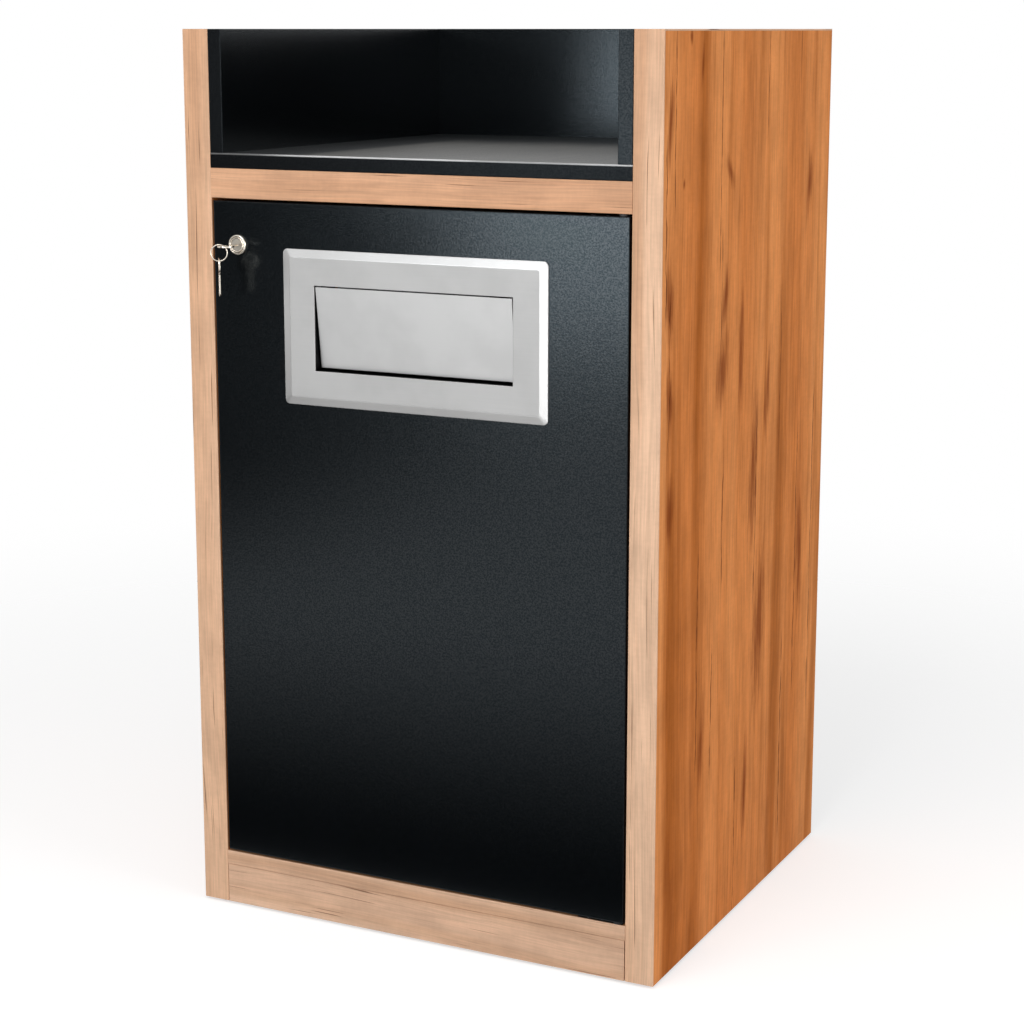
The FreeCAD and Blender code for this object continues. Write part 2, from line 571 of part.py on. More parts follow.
def make_flap_insert(cutters):
    half_w, half_h = FRAME_W / 2, FRAME_H / 2
    inner_corner = max(FRAME_CORNER - SHEET_T, SHEET_T)
    face_w, face_h = half_w - FRAME_BEVEL, half_h - FRAME_BEVEL

    def pressed(inset, front, lip, corner):
        """The outside or the inside of the pressed frame: an upright lip, a bevel and a flat face."""
        foot = rounded_rectangle(half_w - inset, half_h - inset, corner, 0, FRAME_Z)
        rim = rounded_rectangle(half_w - inset, half_h - inset, corner, -lip, FRAME_Z)
        face = rounded_rectangle(face_w, face_h, corner / 2, -front, FRAME_Z)
        return fused(prism([foot, rim]), prism([rim, face]))

    mouth = box(-MOUTH_W / 2, MOUTH_W / 2, -FRAME_PROUD, SLEEVE_REACH, MOUTH_LOW, MOUTH_TOP)
    shell = pressed(0, FRAME_PROUD, FRAME_LIP, FRAME_CORNER)
    hollow = pressed(SHEET_T, FRAME_PROUD - SHEET_T, FRAME_LIP / 4, inner_corner)
    add("flap_frame", shell.cut(hollow).cut(mouth))

    sleeve_front = SHEET_T - FRAME_PROUD
    outer_low, outer_high = MOUTH_LOW - SLEEVE_T, MOUTH_TOP + SLEEVE_T
    sleeve = box(-SLEEVE_HALF, SLEEVE_HALF, sleeve_front, SLEEVE_REACH, outer_low, outer_high).cut(mouth)
    bushes = []
    for side in (-1, 1):
        out = X_AXIS * side
        wall = V(side * SLEEVE_HALF, FLAP_PIN.y, FLAP_PIN.z)
        bore = rod(FLAP_PIN_R + PIVOT_RUN, wall - out * SLEEVE_T, out, SLEEVE_T + BUSH_FLANGE_T)
        sleeve = sleeve.cut(rod(BUSH_R + FIT, wall - out * SLEEVE_T, out, SLEEVE_T))
        bush = fused(rod(BUSH_R, wall - out * SLEEVE_T, out, SLEEVE_T), rod(BUSH_FLANGE_R, wall, out, BUSH_FLANGE_T))
        bushes.append(bush.cut(bore))
    add("flap_sleeve", sleeve)
    add("flap_bushes", *bushes)

    strip_y = FLAP_FRONT + FLAP_T + STOP_STRIP_GAP
    strip = box(-STOP_STRIP_L / 2, STOP_STRIP_L / 2, strip_y, strip_y + STOP_STRIP_T,
                MOUTH_TOP - STOP_STRIP_H, MOUTH_TOP)
    add("flap_stop_strip", ease(strip, STOP_STRIP_T / 3, "x", z=MOUTH_TOP - STOP_STRIP_H))

    hole_w, hole_h = SLEEVE_HALF + CUT_CLEAR, MOUTH_H / 2 + SLEEVE_T + CUT_CLEAR
    cutters.append(box(-hole_w, hole_w, 0, DOOR_T, FRAME_Z - hole_h, FRAME_Z + hole_h))
    make_frame_fixings(cutters)
    make_flap()


def make_frame_fixings(cutters):
    """Studs on the frame, and the plate, washers and nuts that clamp it to the back of the door."""
    half_w, half_h = MOUTH_W / 2, MOUTH_H / 2
    plate_y = DOOR_T
    plate = Part.Face(rounded_rectangle(half_w + BACK_PLATE_RIM, half_h + BACK_PLATE_RIM, FRAME_CORNER, plate_y,
                                        FRAME_Z)).extrude(Y_AXIS * BACK_PLATE_T)
    opening = box(-SLEEVE_HALF - FIT, SLEEVE_HALF + FIT, plate_y, plate_y + BACK_PLATE_T,
                  FRAME_Z - half_h - SLEEVE_T - FIT, FRAME_Z + half_h + SLEEVE_T + FIT)
    plate = plate.cut(opening)
    washer_y = plate_y + BACK_PLATE_T
    nut_y = washer_y + WASHER_T
    start_y = SHEET_T - FRAME_PROUD
    stud_x = (SLEEVE_HALF + CUT_CLEAR + FRAME_W / 2 - FRAME_BEVEL) / 2
    stud_z = (half_h + SLEEVE_T + CUT_CLEAR + FRAME_H / 2 - FRAME_BEVEL) / 2
    studs, washers, nuts = [], [], []
    for sx in (-1, 1):
        for sz in (-1, 1):
            x, z = sx * stud_x, FRAME_Z + sz * stud_z
            studs.append(rod(STUD_R, V(x, start_y, z), Y_AXIS, nut_y + NUT_T + STUD_END - start_y))
            hole = rod(STUD_R + FIT, V(x, 0, z), Y_AXIS, nut_y + NUT_T)
            washers.append(rod(STUD_WASHER_R, V(x, washer_y, z), Y_AXIS, WASHER_T).cut(hole))
            nuts.append(hexagon(NUT_R, V(x, nut_y, z), NUT_T).cut(hole))
            plate = plate.cut(hole)
            cutters.append(hole)
    add("frame_studs", *studs)
    add("stud_washers", *washers)
    add("stud_nuts", *nuts)
    add("flap_back_plate", plate)


def make_flap():
    """The flap is drawn upright in the mouth and then hung at its resting tilt."""
    top, low = MOUTH_TOP - FLAP_TOP_GAP, MOUTH_LOW + FLAP_BOTTOM_GAP
    ear = top - FLAP_PIN.z
    front = FLAP_FRONT
    face = box(-FLAP_HALF, FLAP_HALF, front, front + FLAP_T, low, top)
    lip = box(-FLAP_HALF, FLAP_HALF, front, front + FLAP_FOLD, low, low + FLAP_T)

    def side_fold(x):
        corner = V(x, FLAP_PIN.y + ear * math.sqrt(0.5), FLAP_PIN.z + ear * math.sqrt(0.5))
        arc_start, arc_end = V(x, FLAP_PIN.y, top), V(x, FLAP_PIN.y + ear, FLAP_PIN.z)
        outline = [V(x, front + FLAP_FOLD, low), V(x, front, low), V(x, front, top), arc_start]
        edges = [Part.LineSegment(outline[i], outline[i + 1]).toShape() for i in range(3)]
        edges.append(Part.Arc(arc_start, corner, arc_end).toShape())
        edges.append(Part.LineSegment(arc_end, outline[0]).toShape())
        return Part.Face(Part.Wire(edges)).extrude(X_AXIS * FLAP_T)

    flap = fused(face, lip, side_fold(-FLAP_HALF), side_fold(FLAP_HALF - FLAP_T))
    for side in (-1, 1):
        flap = ease(flap, FLAP_T * 0.8, "z", x=side * FLAP_HALF, y=front)
    flap = ease(flap, FLAP_T * 0.8, "x", y=front, z=low)
    pin_half = SLEEVE_HALF + PIN_END
    pin = rod(FLAP_PIN_R, FLAP_PIN - X_AXIS * pin_half, X_AXIS, 2 * pin_half)
    flap = flap.cut(pin)
    clips = []
    for side in (-1, 1):
        out = X_AXIS * side
        seat = FLAP_PIN + out * (SLEEVE_HALF + BUSH_FLANGE_T + FIT)
        clips.append(rod(CLIP_R, seat, out, CLIP_T).cut(pin))
    for shape in [flap, pin] + clips:
        shape.rotate(FLAP_PIN, X_AXIS, FLAP_TILT)
    add("flap", flap)
    add("flap_pin", pin)
    add("flap_pin_clips", *clips)
    mass_centre = flap.Solids[0].CenterOfMass
    print("flap hangs", round(mass_centre.y - FLAP_PIN.y, 2), "mm behind its pin at rest")


def make_lock(cutters):
    back = DOOR_T + BARREL_END
    plug_r = PLUG_R + PLUG_RUN
    steps = [(plug_r, -ROSETTE_T + 0.8), (plug_r + 0.8, -ROSETTE_T), (BARREL_R - 0.4, -ROSETTE_T),
             (BARREL_R, -ROSETTE_T + 0.7), (BARREL_R + 0.5, -ROSETTE_T + 0.3), (ROSETTE_R - 0.9, -ROSETTE_T + 0.6),
             (ROSETTE_R, -ROSETTE_T + 2.0), (ROSETTE_R, 0), (BARREL_R, 0), (BARREL_R, back), (plug_r, back)]
    outline = [V(LOCK.x + r, y, LOCK.z) for r, y in steps + steps[:1]]
    housing = Part.Face(Part.makePolygon(outline)).revolve(LOCK, Y_AXIS, 360)
    add("lock_housing", housing)
    barrel_hole = rod(BARREL_R + FIT, LOCK, Y_AXIS, back)
    cutters.append(barrel_hole)
    nut = hexagon(LOCK_NUT_R, LOCK + Y_AXIS * DOOR_T, LOCK_NUT_T)
    add("lock_nut", nut.cut(barrel_hole))

    face_y = -ROSETTE_T + PLUG_SUNK
    plug = rod(PLUG_R, LOCK + Y_AXIS * face_y, Y_AXIS, back - face_y)
    tail_end = CAM_Y + CAM_T
    tail = box(LOCK.x - TAIL_HALF, LOCK.x + TAIL_HALF, back, tail_end, LOCK.z - TAIL_HALF, LOCK.z + TAIL_HALF)
    slot_w, slot_t = KEY_BLADE_W / 2 + KEY_SLOT_CLEAR, KEY_T / 2 + KEY_SLOT_CLEAR
    slot = box(LOCK.x - slot_w, LOCK.x + slot_w, face_y, SHOULDER_Y + KEY_BLADE_L + KEY_SLOT_CLEAR,
               LOCK.z - slot_t, LOCK.z + slot_t)
    screw_hole = rod(SCREW_R + FIT, LOCK + Y_AXIS * (tail_end - SMALL_SCREW_HEAD_R), Y_AXIS, SMALL_SCREW_HEAD_R)
    add("lock_plug", fused(plug, tail).cut(slot).cut(screw_hole))

    cam_mid = LOCK + Y_AXIS * CAM_Y
    arm = box(LOCK.x - CAM_W / 2, LOCK.x + CAM_W / 2, CAM_Y, CAM_Y + CAM_T, LOCK.z, LOCK.z + CAM_L)
    arm = fused(arm, rod(CAM_W / 2, cam_mid, Y_AXIS, CAM_T))
    arm = ease(arm, CAM_W / 4, "y", z=LOCK.z + CAM_L)
    square = TAIL_HALF + FIT
    arm = arm.cut(box(LOCK.x - square, LOCK.x + square, CAM_Y, CAM_Y + CAM_T, LOCK.z - square, LOCK.z + square))
    add("lock_cam", arm)
    head = rod(CAM_SCREW_R, LOCK + Y_AXIS * tail_end, Y_AXIS, CAM_SCREW_T)
    stem = rod(SCREW_R, LOCK + Y_AXIS * (tail_end - SMALL_SCREW_HEAD_R), Y_AXIS, SMALL_SCREW_HEAD_R)
    recess_r = SCREW_R * RECESS_SHARE
    recess = rod(recess_r, LOCK + Y_AXIS * (tail_end + CAM_SCREW_T - recess_r), Y_AXIS, recess_r)
    add("cam_screw", fused(head, stem).cut(recess))
    make_keys()


def key_blank():
    """A flat key in its own frame: u along it from the shoulder to the bow, v across, w through it."""
    half_t = KEY_T / 2
    blade = box(-KEY_BLADE_L, 0, -KEY_BLADE_W / 2, KEY_BLADE_W / 2, -half_t, half_t)
    for u in KEY_NOTCHES:
        tip = KEY_BLADE_W / 2 - KEY_NOTCH_DEPTH
        corners = [V(-u - KEY_NOTCH_DEPTH, KEY_BLADE_W / 2, -half_t), V(-u, tip, -half_t),
                   V(-u + KEY_NOTCH_DEPTH, KEY_BLADE_W / 2, -half_t)]
        notch = Part.Face(Part.makePolygon(corners + corners[:1])).extrude(Z_AXIS * KEY_T)
        blade = blade.cut(notch)
    blade = blade.makeChamfer(KEY_BLADE_W / 4, [edge for edge in blade.Edges
                              if abs(edge.CenterOfMass.x + KEY_BLADE_L) < 1e-6 and abs(edge.CenterOfMass.z) < 1e-6])
    shank = box(0, KEY_NECK, -KEY_SHANK_W / 2, KEY_SHANK_W / 2, -half_t, half_t)
    bow = rod(KEY_BOW_R, V(KEY_NECK, 0, -half_t), Z_AXIS, KEY_T)
    hole = rod(KEY_HOLE_R, V(BOW_HOLE_U, 0, -half_t), Z_AXIS, KEY_T)
    return fused(shank, bow, blade).cut(hole)


def placed(shape, u, v, origin):
    """The shape with its own first two axes laid along u and v, and its own origin at a point."""
    w = u.cross(v)
    matrix = FreeCAD.Matrix(u.x, v.x, w.x, origin.x, u.y, v.y, w.y, origin.y, u.z, v.z, w.z, origin.z, 0, 0, 0, 1)
    copy = shape.copy()
    copy.Placement = FreeCAD.Placement(matrix)
    return copy


def make_keys():
    blank = key_blank()
    add("key", placed(blank, -Y_AXIS, X_AXIS, V(LOCK.x, SHOULDER_Y, LOCK.z)))
    add("key_ring", Part.makeTorus(RING_R, RING_WIRE_R, RING_MID, RING_FACE))
    hole = RING_LOW - Z_AXIS * (KEY_HOLE_R - RING_WIRE_R - HANG_GAP)
    shoulder = hole - Z_AXIS * BOW_HOLE_U
    add("spare_key", placed(blank, Z_AXIS, RING_FACE, shoulder))


def make_strike(holes):
    """The angle that the lock's cam closes behind, its screws and the buffer that the door shuts on."""
    flange_y = CAM_Y - STRIKE_FROM_CAM - STRIKE_T
    low, high = LOCK.z - STRIKE_H / 2, LOCK.z + STRIKE_H / 2
    flange = box(-INNER, -INNER + STRIKE_W, flange_y, flange_y + STRIKE_T, low, high)
    leg = box(-INNER, -INNER + STRIKE_T, flange_y, flange_y + STRIKE_LEG, low, high)
    strike = fused(flange, leg)
    screws = []
    for z in (LOCK.z - STRIKE_H / 4, LOCK.z + STRIKE_H / 4):
        head = V(-INNER + STRIKE_T, flange_y + STRIKE_LEG * 0.7, z)
        hole = screw(head, -X_AXIS, SMALL_SCREW_L, SMALL_SCREW_R, SMALL_SCREW_HEAD_R, FIT)
        screws.append(screw(head, -X_AXIS, SMALL_SCREW_L, SMALL_SCREW_R, SMALL_SCREW_HEAD_R))
        strike = strike.cut(hole)
        holes["left"].append(hole)
    add("strike_plate", strike)
    add("strike_screws", *screws)
    thickness = flange_y - DOOR_T - BUFFER_GAP
    add("door_buffer", rod(BUFFER_R, V(-INNER + STRIKE_W / 2, flange_y, LOCK.z), -Y_AXIS, thickness))


# Waste bin

def make_bin():
    top = MOUTH_LOW - SLEEVE_T - BIN_HEADROOM
    low = BOTTOM_TOP + BIN_STAND
    half_w = INNER - BIN_SIDE_ROOM - BIN_RIM_W
    front, rear = DOOR_T + BIN_FRONT_ROOM + BIN_RIM_W, BACK_Y - BIN_BACK_ROOM - BIN_RIM_W
    half_d, y = (rear - front) / 2, (rear + front) / 2

    def tub(inset, z0, z1):
        shrink = BIN_TAPER + inset
        return prism([flat_outline(half_w - shrink, half_d - shrink, BIN_CORNER - inset, y, z0),
                      flat_outline(half_w - inset, half_d - inset, BIN_CORNER - inset, y, z1)])

    def collar(out, z0, z1):
        outline = flat_outline(half_w + out, half_d + out, BIN_CORNER + out, y, z0)
        return Part.Face(outline).extrude(Z_AXIS * (z1 - z0))

    rim = collar(BIN_RIM_W, top - BIN_RIM_H, top)
    rim = rim.cut(collar(BIN_RIM_W - BIN_WALL, top - BIN_RIM_H, top - BIN_WALL))
    shell = fused(tub(0, low, top), rim).cut(tub(BIN_WALL, low + BIN_WALL, top))
    grip_top = top - GRIP_DROP
    grip = box(-half_w - BIN_RIM_W, half_w + BIN_RIM_W, y - GRIP_W / 2, y + GRIP_W / 2, grip_top - GRIP_H, grip_top)
    grip = grip.makeFillet(GRIP_H / 2 - 1, [edge for edge in grip.Edges if abs(edge.tangentAt(0).x) > 0.9])
    add("waste_bin", shell.cut(grip))


def main():
    make_carcass()
    make_door()
    make_bin()
    os.makedirs("parts", exist_ok=True)
    for name, shape in pieces.items():
        shape.translate(TO_ORIGIN)
        shape.exportStep("parts/" + name + ".step")
        if not shape.isValid():
            print("invalid piece", name)
    print(len(pieces), "pieces, key reach", round(KEY_REACH, 3))


main()
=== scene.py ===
# %% [markdown]
# # Dressing a waste bin with a tray holder
#
# The real object is a cabinet of coated board. A black door with a steel throw-in flap hides a bin, and
# an open black tray holder sits on top. The solids come from CAD and stay where they are. Here they get
# their finishes, and the small metal pieces that catch the light are modelled again in finer detail.

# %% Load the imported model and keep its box
import json
import math

import bmesh
import bpy
from mathutils import Matrix, Vector


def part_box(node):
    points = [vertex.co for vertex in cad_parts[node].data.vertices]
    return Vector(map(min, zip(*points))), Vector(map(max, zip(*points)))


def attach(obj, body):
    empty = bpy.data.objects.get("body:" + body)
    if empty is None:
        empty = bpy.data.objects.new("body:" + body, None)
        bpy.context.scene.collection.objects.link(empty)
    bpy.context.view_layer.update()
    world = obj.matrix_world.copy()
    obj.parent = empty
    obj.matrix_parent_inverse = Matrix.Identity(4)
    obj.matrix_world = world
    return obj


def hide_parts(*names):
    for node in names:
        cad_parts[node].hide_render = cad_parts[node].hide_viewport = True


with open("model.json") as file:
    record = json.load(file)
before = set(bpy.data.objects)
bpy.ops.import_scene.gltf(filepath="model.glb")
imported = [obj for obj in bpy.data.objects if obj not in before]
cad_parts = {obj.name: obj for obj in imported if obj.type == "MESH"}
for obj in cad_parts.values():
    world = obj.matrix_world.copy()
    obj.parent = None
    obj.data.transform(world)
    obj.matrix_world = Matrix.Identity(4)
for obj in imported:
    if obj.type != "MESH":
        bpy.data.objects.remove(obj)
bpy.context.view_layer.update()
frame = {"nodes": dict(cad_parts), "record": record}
nodes = frame["nodes"]

# %% [markdown]
# ## The camera
#
# The photograph was taken from the right of the front, level with the top edge. A camera could be
# placed by eye, but this one was solved from the corners of the cabinet, the steel frame and the lock.
# The small downward shift keeps the uprights nearly parallel, as a product photographer does.

# %% Place the camera
CAMERA_PLACE = (1.2432, -2.5041, 1.1000)
CAMERA_YAW = math.radians(26.425)
CAMERA_PITCH = math.radians(10.765)
SENSOR_WIDTH = 36.0
LENS_LENGTH = 77.973
LENS_SHIFT = -0.06


def new_object(name, data):
    """A new object in the scene that shows a mesh, a curve, a lamp or a camera."""
    thing = bpy.data.objects.new(name, data)
    bpy.context.collection.objects.link(thing)
    return thing


lens = bpy.data.cameras.new("camera")
lens.sensor_width = SENSOR_WIDTH
lens.lens = LENS_LENGTH
lens.shift_y = LENS_SHIFT
camera = new_object("camera", lens)
camera.location = CAMERA_PLACE
camera.rotation_euler = (math.pi / 2 - CAMERA_PITCH, 0.0, CAMERA_YAW)
bpy.context.scene.camera = camera
bpy.context.scene.view_settings.view_transform = "Standard"
print("camera at", tuple(camera.location), "lens", lens.lens)

# %% [markdown]
# ## Small helpers for node trees
#
# A finish is a small network of nodes. Wiring each node by hand takes many lines, so these helpers add
# one node at a time and take either a number or another node's output for each input.


# %% Helpers that add and wire nodes
def put(tree, socket, value):
    """Sets a socket to a number or colour, or links an output to it."""
    if isinstance(value, bpy.types.NodeSocket):
        tree.links.new(value, socket)
    else:
        socket.default_value = value


def fill(tree, node, values):
    """Sets a node's inputs by name and hands the node back."""
    for title, value in values.items():
        put(tree, node.inputs[title.replace("_", " ")], value)
    return node


def fill_row(tree, node, values):
    """Sets a node's inputs in their order and hands the node back."""
    for socket, value in zip(node.inputs, values):
        put(tree, socket, value)
    return node


def place(tree, kind, **values):
    """Adds a node of a kind, with its inputs given by name."""
    return fill(tree, tree.nodes.new(kind), values)


def sums(tree, operation, *values):
    """The output of a Math node."""
    node = tree.nodes.new("ShaderNodeMath")
    node.operation = operation
    return fill_row(tree, node, values).outputs[0]


def vector_sums(tree, operation, *values):
    """The outputs of a Vector Math node."""
    node = tree.nodes.new("ShaderNodeVectorMath")
    node.operation = operation
    return fill_row(tree, node, values).outputs


def mixed(tree, share, first, second, way="MIX"):
    """The colour between two colours. A Mix node has its colour sockets at 6 and 7, and at 2 on the way out."""
    node = tree.nodes.new("ShaderNodeMix")
    node.data_type = "RGBA"
    node.blend_type = way
    put(tree, node.inputs[0], share)
    put(tree, node.inputs[6], first)
    put(tree, node.inputs[7], second)
    return node.outputs[2]


def spread(tree, value, low, high, start=0.0, end=1.0):
    """A soft step: start below low, end above high."""
    node = tree.nodes.new("ShaderNodeMapRange")
    node.interpolation_type = "SMOOTHSTEP"
    return fill_row(tree, node, (value, low, high, start, end)).outputs[0]


def stretched(tree, vector, stretch, detail=2.0, roughness=0.5):
    """Noise whose cells are stretched by different amounts along the three axes."""
    vector = vector_sums(tree, "MULTIPLY", vector, stretch)[0]
    noise = place(tree, "ShaderNodeTexNoise", Vector=vector, Scale=1.0, Detail=detail, Roughness=roughness)
    return noise.outputs[0]


def even_noise(tree, vector, scale, detail=2.0, roughness=0.5):
    """Noise with the same number of cells per metre along the three axes."""
    return stretched(tree, vector, (scale, scale, scale), detail, roughness)


def new_group(name, inputs, outputs):
    """A shader node group with named sockets, and its two end nodes."""
    group = bpy.data.node_groups.new(name, "ShaderNodeTree")
    kinds = {"value": "NodeSocketFloat", "colour": "NodeSocketColor", "vector": "NodeSocketVector"}
    for title, kind in inputs:
        group.interface.new_socket(name=title, in_out="INPUT", socket_type=kinds[kind])
    for title, kind in outputs:
        group.interface.new_socket(name=title, in_out="OUTPUT", socket_type=kinds[kind])
    start = group.nodes.new("NodeGroupInput")
    end = group.nodes.new("NodeGroupOutput")
    return group, start, end


def use(tree, group, **values):
    """Places a group in a tree, with its inputs given by name."""
    node = tree.nodes.new("ShaderNodeGroup")
    node.node_tree = group
    return fill(tree, node, values)


def colour(red, green, blue):
    """A colour read from a screen, 0 to 255, as the linear colour that a shader takes."""
    parts = []
    for part in (red, green, blue):
        share = part / 255
        parts.append(share / 12.92 if share <= 0.04045 else ((share + 0.055) / 1.055) ** 2.4)
    return (*parts, 1.0)


def new_finish(name):
    """A new material, its node tree and its Principled shader."""
    finish = bpy.data.materials.new(name)
    finish.use_nodes = True
    return finish, finish.node_tree, finish.node_tree.nodes["Principled BSDF"]


print("helpers ready")

# %% [markdown]
# ## Grain direction
#
# Printed oak has a direction. It runs up the sides, along the rails and back along the top edges. The
# Object coordinate of a CAD piece is its place in metres, so three sums turn it into one number across the
# grain and one along it, and every oak finish can share one figure.

# %% Turn a place into across, along and through the grain
THROUGH_SHARE = 0.05


def here_of(tree):
    """The Object coordinate."""
    return place(tree, "ShaderNodeTexCoord").outputs["Object"]


def grain_place(tree, run):
    """A vector of across, along and through, for grain that runs upright, level or deep."""
    axes = place(tree, "ShaderNodeSeparateXYZ", Vector=here_of(tree)).outputs
    along = {"upright": 2, "level": 0, "deep": 1}[run]
    first, second = [axis for axis in range(3) if axis != along]
    across = sums(tree, "ADD", axes[first], axes[second])
    through = sums(tree, "SUBTRACT", axes[first], axes[second])
    through = sums(tree, "MULTIPLY", through, THROUGH_SHARE)
    return place(tree, "ShaderNodeCombineXYZ", X=across, Y=axes[along], Z=through).outputs[0]


print("grain runs upright, level or deep")

# %% [markdown]
# ## The oak figure
#
# The oak is a printed paper under clear resin: broad soft bands, finer streaks, dark flames and short
# open pores. A photo of real oak would do, but noise stretched along the grain gives the same layers at
# any size, with nothing to load. Each layer is one stretched noise, and the colours come from the material.

# %% The oak figure as a node group
oak_figure, start, end = new_group(
    "oak_figure",
    [("Place", "vector"), ("Pale", "colour"), ("Middle", "colour"), ("Deep", "colour"), ("Dark", "colour"),
     ("Lines", "value"), ("Flames", "value"), ("Pores", "value")],
    [("Colour", "colour"), ("Height", "value"), ("Roughness", "value")])
inside = start.outputs
sway = stretched(oak_figure, inside["Place"], (3.0, 1.6, 3.0), 2.0)
sway = sums(oak_figure, "MULTIPLY", sums(oak_figure, "SUBTRACT", sway, 0.5), 0.035)
shift = place(oak_figure, "ShaderNodeCombineXYZ", X=sway).outputs[0]
bent = vector_sums(oak_figure, "ADD", inside["Place"], shift)[0]
bands = spread(oak_figure, stretched(oak_figure, bent, (11.0, 0.40, 11.0), 2.0, 0.45), 0.34, 0.62)
shades = spread(oak_figure, stretched(oak_figure, bent, (19.0, 0.75, 17.0), 3.0, 0.5), 0.47, 0.70)
streaks = spread(oak_figure, stretched(oak_figure, bent, (46.0, 1.3, 46.0), 3.0, 0.55), 0.50, 0.76)
lines = spread(oak_figure, stretched(oak_figure, bent, (170.0, 3.0, 170.0), 3.0, 0.6), 0.54, 0.74)
threads = stretched(oak_figure, bent, (520.0, 11.0, 520.0), 3.0, 0.6)
flames = spread(oak_figure, stretched(oak_figure, bent, (20.0, 2.4, 20.0), 4.0, 0.6), 0.57, 0.78)
pores = spread(oak_figure, stretched(oak_figure, bent, (460.0, 5.5, 460.0), 2.0), 0.66, 0.72)
ripple = stretched(oak_figure, inside["Place"], (70.0, 210.0, 70.0), 3.0, 0.6)
tone = mixed(oak_figure, bands, inside["Pale"], inside["Middle"])
for layer, weight, over in ((shades, 0.75, "Deep"), (streaks, 0.45, "Deep"), (lines, inside["Lines"], "Deep"),
                            (flames, inside["Flames"], "Dark"), (pores, inside["Pores"], "Dark")):
    tone = mixed(oak_figure, sums(oak_figure, "MULTIPLY", layer, weight), tone, inside[over])
fine = sums(oak_figure, "MULTIPLY", spread(oak_figure, threads, 0.25, 0.75, 0.88, 1.10),
            spread(oak_figure, ripple, 0.3, 0.7, 0.98, 1.02))
clouds = spread(oak_figure, stretched(oak_figure, bent, (38.0, 13.0, 38.0), 4.0, 0.6), 0.3, 0.7, 0.90, 1.08)
fine = sums(oak_figure, "MULTIPLY", fine, clouds)
fine = place(oak_figure, "ShaderNodeCombineXYZ", X=fine, Y=fine, Z=fine).outputs[0]
put(oak_figure, end.inputs["Colour"], mixed(oak_figure, 1.0, tone, fine, "MULTIPLY"))
height = sums(oak_figure, "SUBTRACT", sums(oak_figure, "MULTIPLY", threads, 0.5), pores)
put(oak_figure, end.inputs["Height"], height)
put(oak_figure, end.inputs["Roughness"], spread(oak_figure, height, -0.5, 0.5, 0.62, 0.50))
print("group", oak_figure.name, "with", len(oak_figure.nodes), "nodes")

# %% [markdown]
# ## Cracks and knots
#
# The print also shows single marks: long drying cracks that wander a little, and soft brown smears round
# knots. These could be painted, but each is only a distance: from a wandering line, or from a stretched
# spot with a ragged rim. One group makes a crack and one a knot, and the side finish places each mark.

# %% A long crack as a node group
CRACK_TAPER = 0.05

long_crack, start, end = new_group(
    "long_crack",
    [("Place", "vector"), ("Across", "value"), ("Low", "value"), ("High", "value"), ("Width", "value"),
     ("Wander", "value")],
    [("Mask", "value")])
inside = start.outputs
axes = place(long_crack, "ShaderNodeSeparateXYZ", Vector=inside["Place"]).outputs
line = place(long_crack, "ShaderNodeCombineXYZ", X=inside["Across"], Y=axes[1]).outputs[0]
turn = sums(long_crack, "SUBTRACT", stretched(long_crack, line, (40.0, 9.0, 1.0), 4.0, 0.6), 0.5)
turn = sums(long_crack, "MULTIPLY", turn, inside["Wander"])
off = sums(long_crack, "SUBTRACT", sums(long_crack, "SUBTRACT", axes[0], inside["Across"]), turn)
wide = spread(long_crack, stretched(long_crack, line, (70.0, 34.0, 1.0), 2.0), 0.3, 0.7, 0.25, 1.3)
wide = sums(long_crack, "MULTIPLY", wide, inside["Width"])
mask = sums(long_crack, "DIVIDE", sums(long_crack, "ABSOLUTE", off), wide)
mask = spread(long_crack, mask, 0.3, 1.0, 1.0, 0.0)
upper = sums(long_crack, "DIVIDE", sums(long_crack, "SUBTRACT", inside["High"], axes[1]), CRACK_TAPER)
lower = sums(long_crack, "DIVIDE", sums(long_crack, "SUBTRACT", axes[1], inside["Low"]), CRACK_TAPER)
ends = spread(long_crack, sums(long_crack, "MINIMUM", upper, lower), 0.0, 1.0)
put(long_crack, end.inputs["Mask"], sums(long_crack, "MULTIPLY", mask, ends))
print("group", long_crack.name)

# %% A ragged knot as a node group
knot_spot, start, end = new_group(
    "knot_spot",
    [("Place", "vector"), ("Across", "value"), ("Along", "value"), ("Half width", "value"),
     ("Half length", "value"), ("Lean", "value")],
    [("Mask", "value")])
inside = start.outputs
axes = place(knot_spot, "ShaderNodeSeparateXYZ", Vector=inside["Place"]).outputs
up = sums(knot_spot, "SUBTRACT", axes[1], inside["Along"])
off = sums(knot_spot, "SUBTRACT", sums(knot_spot, "SUBTRACT", axes[0], inside["Across"]),
           sums(knot_spot, "MULTIPLY", up, inside["Lean"]))
side = sums(knot_spot, "DIVIDE", off, inside["Half width"])
rise = sums(knot_spot, "DIVIDE", up, inside["Half length"])
reach = sums(knot_spot, "SQRT", sums(knot_spot, "ADD", sums(knot_spot, "MULTIPLY", side, side),
                                     sums(knot_spot, "MULTIPLY", rise, rise)))
rag = sums(knot_spot, "SUBTRACT", stretched(knot_spot, inside["Place"], (150.0, 14.0, 1.0), 5.0, 0.65), 0.5)
reach = sums(knot_spot, "ADD", reach, sums(knot_spot, "MULTIPLY", rag, 1.8))
put(knot_spot, end.inputs["Mask"], spread(knot_spot, reach, 0.0, 1.15, 1.0, 0.0))
print("group", knot_spot.name)

# %% [markdown]
# ## Soft edges and handling marks
#
# No board edge is perfectly sharp. A bevel could be cut in every mesh, but the CAD meshes stay as they
# are, so a Bevel node bends the normal close to each edge, which is what the eye reads as a soft edge.
# Handling marks are a broad patchy noise that makes some places a little duller.

